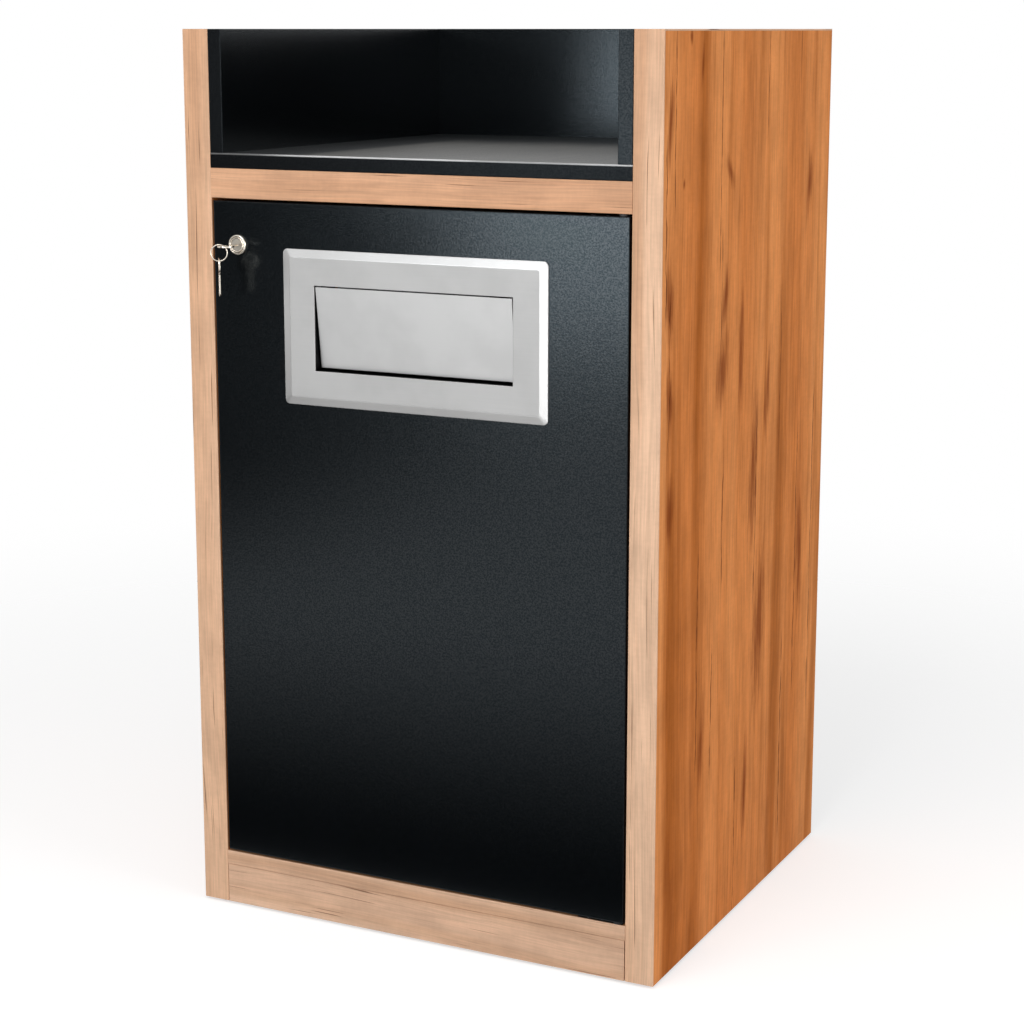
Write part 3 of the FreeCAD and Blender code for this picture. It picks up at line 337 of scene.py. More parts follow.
# %% Patchy handling marks as a node group
handling, start, end = new_group(
    "handling", [("Place", "vector"), ("Even", "value"), ("Change", "value")], [("Roughness", "value")])
inside = start.outputs
patch = stretched(handling, inside["Place"], (9.0, 9.0, 6.0), 5.0, 0.6)
smear = stretched(handling, inside["Place"], (60.0, 60.0, 25.0), 3.0, 0.6)
patch = sums(handling, "SUBTRACT", sums(handling, "ADD", patch, sums(handling, "MULTIPLY", smear, 0.4)), 0.7)
rough = sums(handling, "ADD", inside["Even"], sums(handling, "MULTIPLY", patch, inside["Change"]))
put(handling, end.inputs["Roughness"], rough)


def soft_normal(tree, shader, height, strength, distance, radius):
    """Feeds the shader a normal with soft edges and a fine bump."""
    bevel = tree.nodes.new("ShaderNodeBevel")
    bevel.samples = 4
    bevel.inputs["Radius"].default_value = radius
    bump = place(tree, "ShaderNodeBump", Strength=strength, Distance=distance, Height=height,
                 Normal=bevel.outputs[0])
    tree.links.new(bump.outputs[0], shader.inputs["Normal"])


print("group", handling.name)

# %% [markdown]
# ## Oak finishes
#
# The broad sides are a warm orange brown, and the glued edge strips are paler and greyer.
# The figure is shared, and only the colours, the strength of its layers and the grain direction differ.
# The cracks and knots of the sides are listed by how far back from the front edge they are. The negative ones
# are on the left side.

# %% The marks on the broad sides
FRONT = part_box("right_side_panel")[0].y
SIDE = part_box("right_side_panel")[1].x
CRACK_TITLES = ("Across", "Low", "High", "Width", "Wander")
CRACKS = [(0.175, 0.80, 1.16, 0.0016, 0.003), (0.330, 0.955, 1.16, 0.0014, 0.006),
          (0.034, 0.86, 1.16, 0.0016, 0.012), (0.446, 1.02, 1.16, 0.0014, 0.004),
          (0.010, 0.76, 1.00, 0.0022, 0.020), (0.024, 0.60, 0.84, 0.0020, 0.026),
          (0.182, 0.68, 0.90, 0.0014, 0.008), (0.392, 0.55, 0.80, 0.0014, 0.010),
          (0.309, 0.38, 0.66, 0.0022, 0.014), (0.196, 0.42, 0.62, 0.0020, 0.014),
          (0.120, 0.20, 0.52, 0.0020, 0.012), (0.168, 0.17, 0.39, 0.0018, 0.010),
          (0.464, 0.22, 0.62, 0.0020, 0.014), (0.525, 0.18, 0.66, 0.0018, 0.012),
          (0.255, -0.06, 0.22, 0.0024, 0.012), (0.420, 0.02, 0.34, 0.0020, 0.014),
          (-0.45, 0.30, 0.70, 0.0016, 0.012), (-0.30, 0.72, 1.16, 0.0016, 0.012)]
KNOT_TITLES = ("Across", "Along", "Half_width", "Half_length", "Lean")
KNOTS = [(0.205, 0.936, 0.012, 0.022, -0.5), (0.060, 0.930, 0.004, 0.007, 0.0),
         (0.488, 0.905, 0.014, 0.055, 0.12), (0.194, 0.790, 0.012, 0.050, 0.16),
         (0.188, 0.705, 0.022, 0.060, 0.10), (0.300, 0.560, 0.016, 0.120, 0.05),
         (0.022, 0.800, 0.014, 0.060, -0.10), (0.026, 0.690, 0.012, 0.050, -0.08),
         (0.076, 1.092, 0.005, 0.010, 0.0), (0.112, 1.060, 0.005, 0.030, 0.05),
         (0.345, 0.660, 0.012, 0.070, 0.05), (0.030, 0.560, 0.014, 0.045, 0.0),
         (0.330, 0.360, 0.024, 0.130, 0.06), (0.480, 0.420, 0.012, 0.110, -0.04),
         (0.136, 0.250, 0.012, 0.060, 0.05), (0.290, 0.160, 0.012, 0.080, 0.04),
         (0.020, 1.000, 0.010, 0.060, 0.10), (0.250, 0.720, 0.010, 0.100, 0.02),
         (-0.40, 0.60, 0.020, 0.080, 0.05), (-0.22, 0.85, 0.014, 0.030, 0.0)]
print("cracks:", len(CRACKS), "knots:", len(KNOTS))


# %% The oak of the broad sides and of the strips
def all_marks(tree, group, spot, titles, rows):
    """The strongest of several marks, one for each row of numbers."""
    strongest = None
    for back, *others in rows:
        numbers = dict(zip(titles, (FRONT + SIDE + back, *others)))
        mark = use(tree, group, Place=spot, **numbers).outputs[0]
        strongest = mark if strongest is None else sums(tree, "MAXIMUM", strongest, mark)
    return strongest


def side_oak():
    """Oak with its own cracks and knots, for the broad sides."""
    finish, tree, shader = new_finish("oak_side")
    spot = grain_place(tree, "upright")
    oak = use(tree, oak_figure, Place=spot, Pale=colour(232, 152, 90), Middle=colour(213, 130, 69),
              Deep=colour(162, 87, 28), Dark=colour(112, 48, 8), Lines=0.30, Flames=0.42, Pores=0.22)
    dark = all_marks(tree, long_crack, spot, CRACK_TITLES, CRACKS)
    smear = all_marks(tree, knot_spot, spot, KNOT_TITLES, KNOTS)
    tone = mixed(tree, sums(tree, "MULTIPLY", smear, 0.78), oak.outputs["Colour"], colour(116, 45, 2))
    tone = mixed(tree, sums(tree, "MULTIPLY", dark, 0.74), tone, colour(78, 30, 6))
    put(tree, shader.inputs["Base Color"], tone)
    put(tree, shader.inputs["Roughness"], oak.outputs["Roughness"])
    shader.inputs["Specular IOR Level"].default_value = 0.01
    soft_normal(tree, shader, oak.outputs["Height"], 0.25, 0.0004, 0.0005)
    return finish


def strip_oak(name, run, tones, flames=0.12, pores=0.95):
    """Oak without marks, in four tones from pale to dark."""
    finish, tree, shader = new_finish(name)
    pale, middle, deep, dark = (colour(*tone) for tone in tones)
    oak = use(tree, oak_figure, Place=grain_place(tree, run), Pale=pale, Middle=middle, Deep=deep, Dark=dark,
              Lines=0.25, Flames=flames, Pores=pores)
    put(tree, shader.inputs["Base Color"], oak.outputs["Colour"])
    put(tree, shader.inputs["Roughness"], oak.outputs["Roughness"])
    shader.inputs["Specular IOR Level"].default_value = 0.3
    soft_normal(tree, shader, oak.outputs["Height"], 0.3, 0.0004, 0.0005)
    return finish


STRIP_TONES = ((221, 182, 151), (209, 166, 133), (192, 145, 110), (116, 78, 52))
RAIL_TONES = ((216, 172, 139), (205, 157, 122), (182, 133, 98), (110, 72, 46))
PLINTH_TONES = ((216, 181, 153), (206, 168, 140), (184, 143, 112), (120, 84, 60))
BOARD_TONES = ((203, 150, 104), (186, 130, 84), (166, 108, 64), (100, 58, 30))
oak_side = side_oak()
oak_upright = strip_oak("oak_strip_upright", "upright", STRIP_TONES)
oak_level = strip_oak("oak_strip_level", "level", RAIL_TONES, 0.2)
oak_plinth = strip_oak("oak_plinth", "level", PLINTH_TONES, 0.2, 0.9)
oak_deep = strip_oak("oak_strip_deep", "deep", STRIP_TONES)
oak_board = strip_oak("oak_board_level", "level", BOARD_TONES, 0.3)
print("oak finishes:", oak_side.name, oak_upright.name, oak_level.name, oak_plinth.name, oak_deep.name,
      oak_board.name)

# %% [markdown]
# ## Black coated board
#
# The door and the tray holder are black board with a fine pearl texture. Pure black would lose the form, so
# the colour is a very dark grey and the light comes from a coat. The pearl shows where the coat shines and
# not where it is dark, so the noise goes to the weight of the coat and to its bumps, and not to the colour.
# The floor of the tray holder is greyed partly by trays and partly as a painted pool of light. It is kept dark
# along the left wall and the back wall as painted shadow, and the top of its front edging carries a painted
# highlight.

# %% The black board and its edge strips
BLUE_SHEEN = (0.70, 0.88, 1.0, 1.0)
PEARL_SCALE = 500.0
GLINT_SPECK_SCALE = 1500.0
HIGHLIGHT_FROM, HIGHLIGHT_FULL = 0.0024, 0.0012


def black_coat(name, tone, glint_speck_tone, even, bump, shine):
    """Black board with a pearl coat. Even is the roughness and shine the most that the coat weighs."""
    finish, tree, shader = new_finish(name)
    spot = here_of(tree)
    pearl = even_noise(tree, spot, PEARL_SCALE, 2.0, 0.6)
    # Painted glints: fine light specks are mixed into the colour for the sparkle of the pearl.
    glint_speck = spread(tree, even_noise(tree, spot, GLINT_SPECK_SCALE, 1.0), 0.62, 0.72, 0.0, 0.2)
    put(tree, shader.inputs["Base Color"], mixed(tree, glint_speck, tone, glint_speck_tone))
    marks = use(tree, handling, Place=spot, Even=even, Change=0.05)
    put(tree, shader.inputs["Roughness"], marks.outputs[0])
    shader.inputs["Specular IOR Level"].default_value = 0.6 * shine
    shader.inputs["Specular Tint"].default_value = BLUE_SHEEN
    put(tree, shader.inputs["Coat Weight"], spread(tree, pearl, 0.36, 0.64, 0.0, shine))
    shader.inputs["Coat Roughness"].default_value = even
    soft_normal(tree, shader, pearl, bump, 0.0003, 0.0006)
    put(tree, shader.inputs["Coat Normal"], shader.inputs["Normal"].links[0].from_socket)
    return finish


def lay_tone(tree, share, tone):
    """Lays a tone over the colour of a finish by a share."""
    base = tree.nodes["Principled BSDF"].inputs["Base Color"]
    put(tree, base, mixed(tree, share, base.links[0].from_socket, tone))


def painted_highlight_line(finish, tone):
    """Paints a pale highlight along the upper edge of the tray floor's edging, where its rounded edge catches
    the light, weaker at the left end as painted shade of the left wall.
    """
    tree = finish.node_tree
    spot = here_of(tree)
    low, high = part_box("tray_floor_edging")
    axes = place(tree, "ShaderNodeSeparateXYZ", Vector=spot).outputs
    # Painted highlight: a pale band just under the top of the edging.
    line = spread(tree, axes[2], high.z - HIGHLIGHT_FROM, high.z - HIGHLIGHT_FULL)
    # Painted shade: the highlight is weaker near the left wall.
    left_end_shade = spread(tree, axes[0], low.x + 0.06, low.x + 0.13, 0.3, 1.0)
    patchy = spread(tree, stretched(tree, spot, (9.0, 90.0, 90.0), 4.0, 0.6), 0.3, 0.6, 0.6, 1.0)
    lay_tone(tree, sums(tree, "MULTIPLY", line, sums(tree, "MULTIPLY", left_end_shade, patchy)), tone)


def wear_and_painted_light_floor(finish, tone):
    """Greys the floor of the tray holder, partly as wear where trays slide and partly as a painted pool of
    light, with painted shadow left dark along the back wall and the left wall.
    """
    tree = finish.node_tree
    spot = here_of(tree)
    low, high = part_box("tray_floor")
    axes = place(tree, "ShaderNodeSeparateXYZ", Vector=spot).outputs
    wave = sums(tree, "MULTIPLY", stretched(tree, spot, (14.0, 5.0, 14.0), 3.0), 0.10)
    # Painted shadow: the grey fades out before the back wall, where the back wall shades the floor.
    reach = spread(tree, sums(tree, "ADD", axes[1], wave), high.y - 0.22, high.y - 0.06, 1.0, 0.0)
    # Painted shadow: the grey fades out along the left wall, where the left wall shades the floor.
    reach = sums(tree, "MULTIPLY", reach, spread(tree, axes[0], low.x + 0.11, low.x + 0.145))
    rubs = spread(tree, stretched(tree, spot, (120.0, 6.0, 120.0), 4.0, 0.6), 0.3, 0.7, 0.72, 1.0)
    lay_tone(tree, sums(tree, "MULTIPLY", reach, rubs), tone)


black_board = black_coat("black_board", colour(4, 5, 6), colour(44, 50, 57), 0.18, 0.20, 0.48)
black_strip = black_coat("black_strip", colour(9, 9, 10), colour(46, 50, 54), 0.27, 0.06, 0.2)
painted_highlight_strip = black_coat("black_strip_painted_highlight", colour(10, 10, 11), colour(40, 44, 48), 0.30, 0.06, 0.1)
# The pale line on the tray floor's edging is a painted highlight.
painted_highlight_line(painted_highlight_strip, colour(196, 196, 196))
# The tray floor is a lighter black board, partly worn and partly painted light.
wear_and_painted_light_board = black_coat("black_board_wear_and_painted_light", colour(16, 16, 16), colour(60, 60, 60), 0.42, 0.16, 0.5)
wear_and_painted_light_floor(wear_and_painted_light_board, colour(92, 90, 87))
print("black finishes:", black_board.name, black_strip.name, painted_highlight_strip.name, wear_and_painted_light_board.name)

# %% [markdown]
# ## Metals
#
# The flap and its frame are brushed stainless steel, smoother on the pressed rim, and the sleeve behind them
# is near-black steel, whose darkness also stands in for the shade inside the flap opening. The sloping rim and
# the flap get lighter copies of the steel colour, which paint light onto them. The lock and its keys are nickel
# plated, the hinges are black zinc, and the other fittings are plain zinc, plated or cast. All are metal, so
# the colour is the colour of the reflection. The brushing is noise stretched very long in one direction, which
# goes to the bump and to the roughness.

# %% Metal finishes
BRUSHED = (14.0, 900.0, 900.0)
CLOUD_SCALE = 16.0
DULL_SHARE = 0.93


def metal(name, tone, even, brush, bump, change=0.10):
    """A metal with brush marks. Even is the roughness, and change is how much handling alters it."""
    finish, tree, shader = new_finish(name)
    spot = here_of(tree)
    lines = stretched(tree, spot, brush, 2.0, 0.6)
    cloudy = even_noise(tree, spot, CLOUD_SCALE, 3.0, 0.55)
    dull = tuple(part * DULL_SHARE for part in tone[:3]) + (1.0,)
    put(tree, shader.inputs["Base Color"], mixed(tree, spread(tree, cloudy, 0.35, 0.7), tone, dull))
    marks = use(tree, handling, Place=spot, Even=even, Change=change)
    scratches = sums(tree, "MULTIPLY", sums(tree, "SUBTRACT", lines, 0.5), 0.08)
    put(tree, shader.inputs["Roughness"], sums(tree, "ADD", marks.outputs[0], scratches))
    shader.inputs["Metallic"].default_value = 1.0
    soft_normal(tree, shader, lines, bump, 0.0002, 0.0004)
    return finish


steel = metal("brushed_steel", colour(188, 187, 186), 0.62, BRUSHED, 0.04, 0.06)
# Smoother than the brushed steel, and lighter in colour, which paints light onto the sloping rim.
lit_rim_steel = metal("pressed_rim_steel_painted_light", colour(203, 202, 201), 0.36, BRUSHED, 0.006, 0.06)
# A lighter copy of the brushed steel, which paints light onto the flap.
lit_flap_steel = metal("brushed_flap_steel_painted_light", colour(207, 206, 205), 0.50, BRUSHED, 0.04, 0.06)
# Near-black steel for the sleeve; its darkness also paints the shade inside the flap opening.
black_steel = metal("near_black_steel_painted_shade", colour(20, 20, 21), 0.5, (300.0, 300.0, 300.0), 0.1)
black_zinc = metal("black_zinc", colour(30, 30, 32), 0.42, (260.0, 260.0, 260.0), 0.08, 0.2)
zinc = metal("zinc_plated_steel", colour(196, 200, 204), 0.34, (260.0, 260.0, 260.0), 0.08, 0.2)
cast = metal("cast_zinc", colour(168, 169, 170), 0.5, (420.0, 420.0, 420.0), 0.2, 0.2)
nickel = metal("nickel_plate", colour(228, 219, 206), 0.15, (600.0, 600.0, 600.0), 0.04, 0.15)
satin_nickel = metal("satin_nickel", colour(188, 180, 169), 0.36, (600.0, 600.0, 600.0), 0.04, 0.15)
print("metals:", steel.name, lit_rim_steel.name, lit_flap_steel.name, black_steel.name, black_zinc.name, zinc.name,
      cast.name, nickel.name, satin_nickel.name)

# %% [markdown]
# ## Plastic, rubber and beech
#
# These pieces are mostly inside. The bin is moulded grey plastic with a fine spark texture, the glides and
# bushes are white nylon, the hinge washers are black nylon, the buffer and the stop strip are black rubber,
# and the dowels are beech.

# %% Moulded and turned finishes
BEECH_TONES = ((222, 186, 146), (210, 170, 128), (196, 152, 108), (150, 104, 66))
DRIFT_SCALE = 12.0


def moulded(name, tone, other, even, grain, bump):
    """A plastic or rubber that drifts between two tones, with a fine grain."""
    finish, tree, shader = new_finish(name)
    spot = here_of(tree)
    fine = even_noise(tree, spot, grain, 3.0, 0.6)
    broad = even_noise(tree, spot, DRIFT_SCALE, 3.0, 0.5)
    put(tree, shader.inputs["Base Color"], mixed(tree, spread(tree, broad, 0.3, 0.7), tone, other))
    marks = use(tree, handling, Place=spot, Even=even, Change=0.2)
    put(tree, shader.inputs["Roughness"], marks.outputs[0])
    soft_normal(tree, shader, fine, bump, 0.0004, 0.0008)
    return finish


nylon = moulded("nylon", colour(226, 224, 216), colour(212, 209, 200), 0.45, 500.0, 0.06)
black_nylon = moulded("black_nylon", colour(28, 28, 29), colour(36, 36, 37), 0.5, 500.0, 0.06)
rubber = moulded("rubber", colour(26, 26, 27), colour(36, 36, 36), 0.75, 900.0, 0.15)
bin_plastic = moulded("bin_plastic", colour(58, 60, 63), colour(50, 52, 55), 0.5, 700.0, 0.2)
beech = strip_oak("beech", "level", BEECH_TONES, 0.05, 0.3)
print("others:", nylon.name, black_nylon.name, rubber.name, bin_plastic.name, beech.name)

# %% [markdown]
# ## Give every CAD piece its finish
#
# The record names a material slot for each solid. Most slots have one finish. Oak also needs the direction
# of its grain, and a few pieces are worn, carry painted light or shade, or are plated differently, so those
# pieces are listed by name.

# %% Assign the finishes
SLOT_FINISH = {"oak_board": oak_board, "oak_edging": oak_level, "black_board": black_board,
               "black_edging": black_strip, "stainless": steel, "black_steel": black_steel,
               "zinc_steel": zinc, "cast_zinc": cast, "nickel": nickel, "nylon": nylon,
               "black_nylon": black_nylon, "rubber": rubber, "beech": beech, "bin_plastic": bin_plastic}
NODE_FINISH = {"left_side_panel": oak_side, "right_side_panel": oak_side, "left_front_edging": oak_upright,
               "right_front_edging": oak_upright, "side_rear_edging": oak_upright,
               "side_top_edging": oak_deep, "front_plinth": oak_plinth, "bottom_panel_edging": oak_plinth,
               "tray_floor_edging": painted_highlight_strip, "flap": lit_flap_steel, "tray_floor": wear_and_painted_light_board,
               "upper_frame_pivot": black_zinc, "lower_frame_pivot": black_zinc,
               "upper_door_pivot": black_zinc, "lower_door_pivot": black_zinc, "lock_plug": satin_nickel}

for part in frame["record"]["subparts"]:
    finish = NODE_FINISH.get(part["node"], SLOT_FINISH[part["material_slot"]])
    for material_slot in nodes[part["node"]].material_slots:
        material_slot.material = finish

# %% [markdown]
# ## Turning a list of points into a piece
#
# The finer pieces are meshes made point by point. These helpers join the rows of points with faces, close
# the mesh, point its faces outwards, shade it smooth except at real corners, and let it ride on the CAD body
# that carries it.

# %% Helpers that finish a piece
WELD = 1e-6


def wrapped_faces(rows, steps):
    """Faces between rows of points, where each row and the list of rows close on themselves."""
    faces = []
    for row in range(rows):
        here, following = row * steps, (row + 1) % rows * steps
        for step in range(steps):
            ahead = (step + 1) % steps
            faces.append((here + step, here + ahead, following + ahead, following + step))
    return faces


def welded(mesh, outwards=False):
    """Joins the points of a mesh that fall together, and can point its faces outwards."""
    shell = bmesh.new()
    shell.from_mesh(mesh)
    bmesh.ops.remove_doubles(shell, verts=shell.verts, dist=WELD)
    if outwards:
        bmesh.ops.recalc_face_normals(shell, faces=shell.faces)
    shell.to_mesh(mesh)
    shell.free()


def finished_piece(name, mesh, finish, body, replaced, corner=32.0):
    """A piece with its finish, which rides on a body and takes the place of CAD pieces."""
    welded(mesh, True)
    for face in mesh.polygons:
        face.use_smooth = True
    mesh.set_sharp_from_angle(angle=math.radians(corner))
    mesh.materials.clear()
    mesh.materials.append(finish)
    piece = new_object(name, mesh)
    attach(piece, body)
    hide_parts(*replaced)
    low = [round(min(v.co[axis] for v in mesh.vertices), 4) for axis in range(3)]
    high = [round(max(v.co[axis] for v in mesh.vertices), 4) for axis in range(3)]
    print(name, len(mesh.polygons), "faces from", low, "to", high)
    return piece


# %% [markdown]
# ## The pressed steel frame
#
# The frame round the flap is one sheet of steel, pressed so that its rim slopes back to the door. It could be
# a box with cut edges, but a press leaves a small round at every bend, and those rounds draw the bright
# lines. So the section of the sheet is listed as loops, each corner of the section is rounded, and each loop
# is swept round a rectangle with rounded corners.

# %% Loops round a rounded rectangle
MOST_ROUND = 0.45
HOLD_SHARE = 0.03


def rounded_loop(half_width, half_height, corner, steps=7):
    """Points round a rectangle with rounded corners, as pairs across and up."""
    points = []
    for quarter in range(4):
        turn = quarter * math.pi / 2
        across = (half_width - corner) * (1 if quarter in (0, 3) else -1)
        up = (half_height - corner) * (1 if quarter in (0, 1) else -1)
        for step in range(steps + 1):
            angle = turn + math.pi / 2 * step / steps
            points.append((across + corner * math.cos(angle), up + corner * math.sin(angle)))
    return points


def between(first, second, share):
    """The point at a share of the way from one point to another."""
    return [a + (b - a) * share for a, b in zip(first, second)]


def eased_section(section, radii, steps=4):
    """The same closed section with a small round at each of its corners."""
    eased = []
    for index, corner in enumerate(section):
        before, after = section[index - 1], section[(index + 1) % len(section)]
        ways = []
        for other in (before, after):
            gap = math.dist(corner, other)
            ways.append(between(corner, other, min(MOST_ROUND, radii[index] / gap) if gap > 0 else 0.0))
        bend = []
        for step in range(steps + 1):
            t = step / steps
            bend.append([(1 - t) ** 2 * a + 2 * t * (1 - t) * b + t * t * c
                         for a, b, c in zip(ways[0], corner, ways[1])])
        eased += [between(bend[0], before, HOLD_SHARE), *bend, between(bend[-1], after, HOLD_SHARE)]
    return eased


def swept_ring(name, section, middle):
    """A mesh swept from a closed section of (half width, half height, corner, depth) loops."""
    mesh = bpy.data.meshes.new(name)
    points = []
    for half_width, half_height, corner, depth in section:
        for across, up in rounded_loop(half_width, half_height, corner):
            points.append((middle[0] + across, middle[1] + depth, middle[2] + up))
    mesh.from_pydata(points, [], wrapped_faces(len(section), len(points) // len(section)))
    return mesh


# %% Press the frame
low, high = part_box("flap_frame")
rim_width, rim_height = (high.x - low.x) / 2, (high.z - low.z) / 2
proud = high.y - low.y
FRAME_MIDDLE = (0.0, high.y, (low.z + high.z) / 2)
MOUTH_HALF = (0.1315, 0.0511)
SHEET = 0.0015
BEVEL = 0.010
RIM_FACING = -0.2
RIM_CORNER, BEND_CORNER, MOUTH_CORNER, INNER_CORNER = 0.006, 0.003, 0.0004, 0.0045
section = [(rim_width, rim_height, RIM_CORNER, -0.0006),
           (rim_width, rim_height, RIM_CORNER, -0.0014),
           (rim_width - BEVEL, rim_height - BEVEL, BEND_CORNER, -proud),
           (*MOUTH_HALF, MOUTH_CORNER, -proud),
           (*MOUTH_HALF, MOUTH_CORNER, SHEET - proud),
           (rim_width - BEVEL, rim_height - BEVEL, BEND_CORNER, SHEET - proud),
           (rim_width - SHEET, rim_height - SHEET, INNER_CORNER, -0.0003),
           (rim_width - SHEET, rim_height - SHEET, INNER_CORNER, 0.0)]
radii = [0.0001, 0.0009, 0.0014, 0.0006, 0.0002, 0.0010, 0.0003, 0.0001]
frame_mesh = swept_ring("pressed_flap_frame", eased_section(section, radii), FRAME_MIDDLE)
flap_frame = finished_piece("pressed_flap_frame", frame_mesh, steel, "door", ["flap_frame"],
                            40.0)
# The sloping rim faces take the lighter steel, which paints light onto them.
flap_frame.data.materials.append(lit_rim_steel)
for sheet_face in flap_frame.data.polygons:
    from_middle = sheet_face.center - Vector(FRAME_MIDDLE)
    on_rim = abs(from_middle.x) > rim_width - BEVEL or abs(from_middle.z) > rim_height - BEVEL
    sheet_face.material_index = int(on_rim and sheet_face.normal.y < RIM_FACING)
print("faces of the sloping rim:", sum(sheet_face.material_index for sheet_face in flap_frame.data.polygons))

# %% [markdown]
# ## The lock rosette
#
# The lock sits in a turned, plated rosette. On a lathe the shape is a profile turned about an axis, and here
# it is the same: the profile is a list of radius and depth, with fine grooves and rounded lips, turned in 72
# steps.


# %% Turn a profile about the lock axis
def turned(name, profile, axis_place, steps=72):
    """A mesh turned about an axis that points along depth."""
    mesh = bpy.data.meshes.new(name)
    points = []
    for radius, depth in profile:
        for step in range(steps):
            angle = 2 * math.pi * step / steps
            points.append((axis_place[0] + radius * math.cos(angle), axis_place[1] + depth,
                           axis_place[2] + radius * math.sin(angle)))
    mesh.from_pydata(points, [], wrapped_faces(len(profile), steps))
    return mesh


DOOR_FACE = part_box("door_panel")[0].y
low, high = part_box("lock_housing")
LOCK_AXIS = ((low.x + high.x) / 2, DOOR_FACE, (low.z + high.z) / 2)
face = low.y - DOOR_FACE
back = high.y - DOOR_FACE
profile = [(0.0072, face + 0.0008), (0.0076, face + 0.0003), (0.0081, face), (0.0087, face),
           (0.0090, face + 0.0003), (0.0091, face + 0.0012), (0.0094, face + 0.0015), (0.0097, face + 0.0012),
           (0.0099, face + 0.0005), (0.0103, face + 0.0003), (0.0110, face + 0.0004), (0.0116, face + 0.0009),
           (0.0120, face + 0.0015), (0.01222, face + 0.0021), (0.01225, face + 0.0026),
           (0.01225, 0.0), (0.0095, 0.0), (0.0095, back), (0.0072, back)]
finished_piece("lock_rosette", turned("lock_rosette", profile, LOCK_AXIS), nickel, "door",
               ["lock_housing"], 50.0)

# %% [markdown]
# ## The keys
#
# A key is stamped from flat strip and its blade is milled, with a groove along each face and notches on one
# edge. A flat outline with a hole, extruded with a small round, is exactly a stamping, so a filled 2-D curve
# makes it. The groove is then cut with a Boolean, and the result is kept as a plain mesh.

# %% The outline of a key, measured from the middle of its hole
KEY_HOLE = 0.00385
KEY_END = 0.00675
KEY_BOW_MIDDLE, KEY_BOW_RADIUS = 0.00375, 0.0105
KEY_SHOULDER = 0.02175
KEY_TIP = 0.03925
KEY_THICK = 0.002
KEY_EASE = 0.00022
HALF_SHANK, HALF_BLADE = 0.0045, 0.0035
SHOULDER_CUT = 0.0006
NOTCH_FLAT = 0.0003
NOTCHES = [(0.0245, 0.0013), (0.0272, 0.0017), (0.0299, 0.0011), (0.0326, 0.0018), (0.0353, 0.0013)]
GROOVE_SIZE = (0.0014, 0.0200, 0.0009)
GROOVE_ASIDE, GROOVE_ALONG = 0.0010, 0.0295
BOW_STEPS, HOLE_STEPS = 40, 32


def key_outline():
    """Points round the key: bow, shank, shoulder, blade with notches, tip."""
    points = []
    opening = math.asin(HALF_SHANK / KEY_BOW_RADIUS)
    for step in range(BOW_STEPS + 1):
        angle = math.pi / 2 + opening + (2 * math.pi - 2 * opening) * step / BOW_STEPS
        points.append((KEY_BOW_RADIUS * math.cos(angle), KEY_BOW_MIDDLE + KEY_BOW_RADIUS * math.sin(angle)))
    points += [(HALF_SHANK, KEY_SHOULDER - SHOULDER_CUT), (HALF_SHANK - SHOULDER_CUT, KEY_SHOULDER),
               (HALF_BLADE, KEY_SHOULDER)]
    for along, depth in NOTCHES:
        points += [(HALF_BLADE, along - depth), (HALF_BLADE - depth, along - NOTCH_FLAT),
                   (HALF_BLADE - depth, along + NOTCH_FLAT), (HALF_BLADE, along + depth)]
    points += [(HALF_BLADE, KEY_TIP - 0.0018), (0.0014, KEY_TIP), (-0.0004, KEY_TIP),
               (-HALF_BLADE, KEY_TIP - 0.0026), (-HALF_BLADE, KEY_SHOULDER),
               (-HALF_SHANK + SHOULDER_CUT, KEY_SHOULDER), (-HALF_SHANK, KEY_SHOULDER - SHOULDER_CUT)]
    return points


def frozen(holder, *helpers):
    """The shape of an object as a plain mesh. The object and its helpers are then removed."""
    bpy.context.view_layer.update()
    mesh = bpy.data.meshes.new_from_object(holder.evaluated_get(bpy.context.evaluated_depsgraph_get()))
    for done in (holder, *helpers):
        bpy.data.objects.remove(done)
    return mesh


def filled_outline(name, loops, thick, ease):
    """A mesh of a flat outline with holes, extruded to a thickness, with eased edges."""
    sketch = bpy.data.curves.new(name, "CURVE")
    sketch.dimensions = "2D"
    sketch.fill_mode = "BOTH"
    sketch.extrude = thick / 2 - ease
    sketch.bevel_depth = ease
    sketch.bevel_resolution = 2
    sketch.offset = -ease
    for loop in loops:
        line = sketch.splines.new("POLY")
        line.points.add(len(loop) - 1)
        for point, (across, along) in zip(line.points, loop):
            point.co = (across, along, 0.0, 1.0)
        line.use_cyclic_u = True
    return frozen(new_object(name, sketch))


# %% Mill the groove and hang the keys
def milled_key(name):
    """A key with its hole, and with a groove along each face of its blade."""
    angles = [2 * math.pi * step / HOLE_STEPS for step in range(HOLE_STEPS)]
    hole = [(KEY_HOLE * math.cos(angle), KEY_HOLE * math.sin(angle)) for angle in angles]
    mesh = filled_outline(name, [key_outline(), hole], KEY_THICK, KEY_EASE)
    welded(mesh)
    key = new_object(name, mesh)
    cutters = []
    for face_side in (-1, 1):
        groove = bmesh.new()
        bmesh.ops.create_cube(groove, size=1.0)
        bmesh.ops.scale(groove, vec=GROOVE_SIZE, verts=groove.verts)
        aside = (-GROOVE_ASIDE * face_side, GROOVE_ALONG, face_side * KEY_THICK / 2)
        bmesh.ops.translate(groove, vec=aside, verts=groove.verts)
        groove_mesh = bpy.data.meshes.new("groove")
        groove.to_mesh(groove_mesh)
        groove.free()
        cutters.append(new_object("groove", groove_mesh))
        cut = key.modifiers.new("groove", "BOOLEAN")
        cut.operation = "DIFFERENCE"
        cut.solver = "EXACT"
        cut.object = cutters[-1]
    return frozen(key, *cutters)


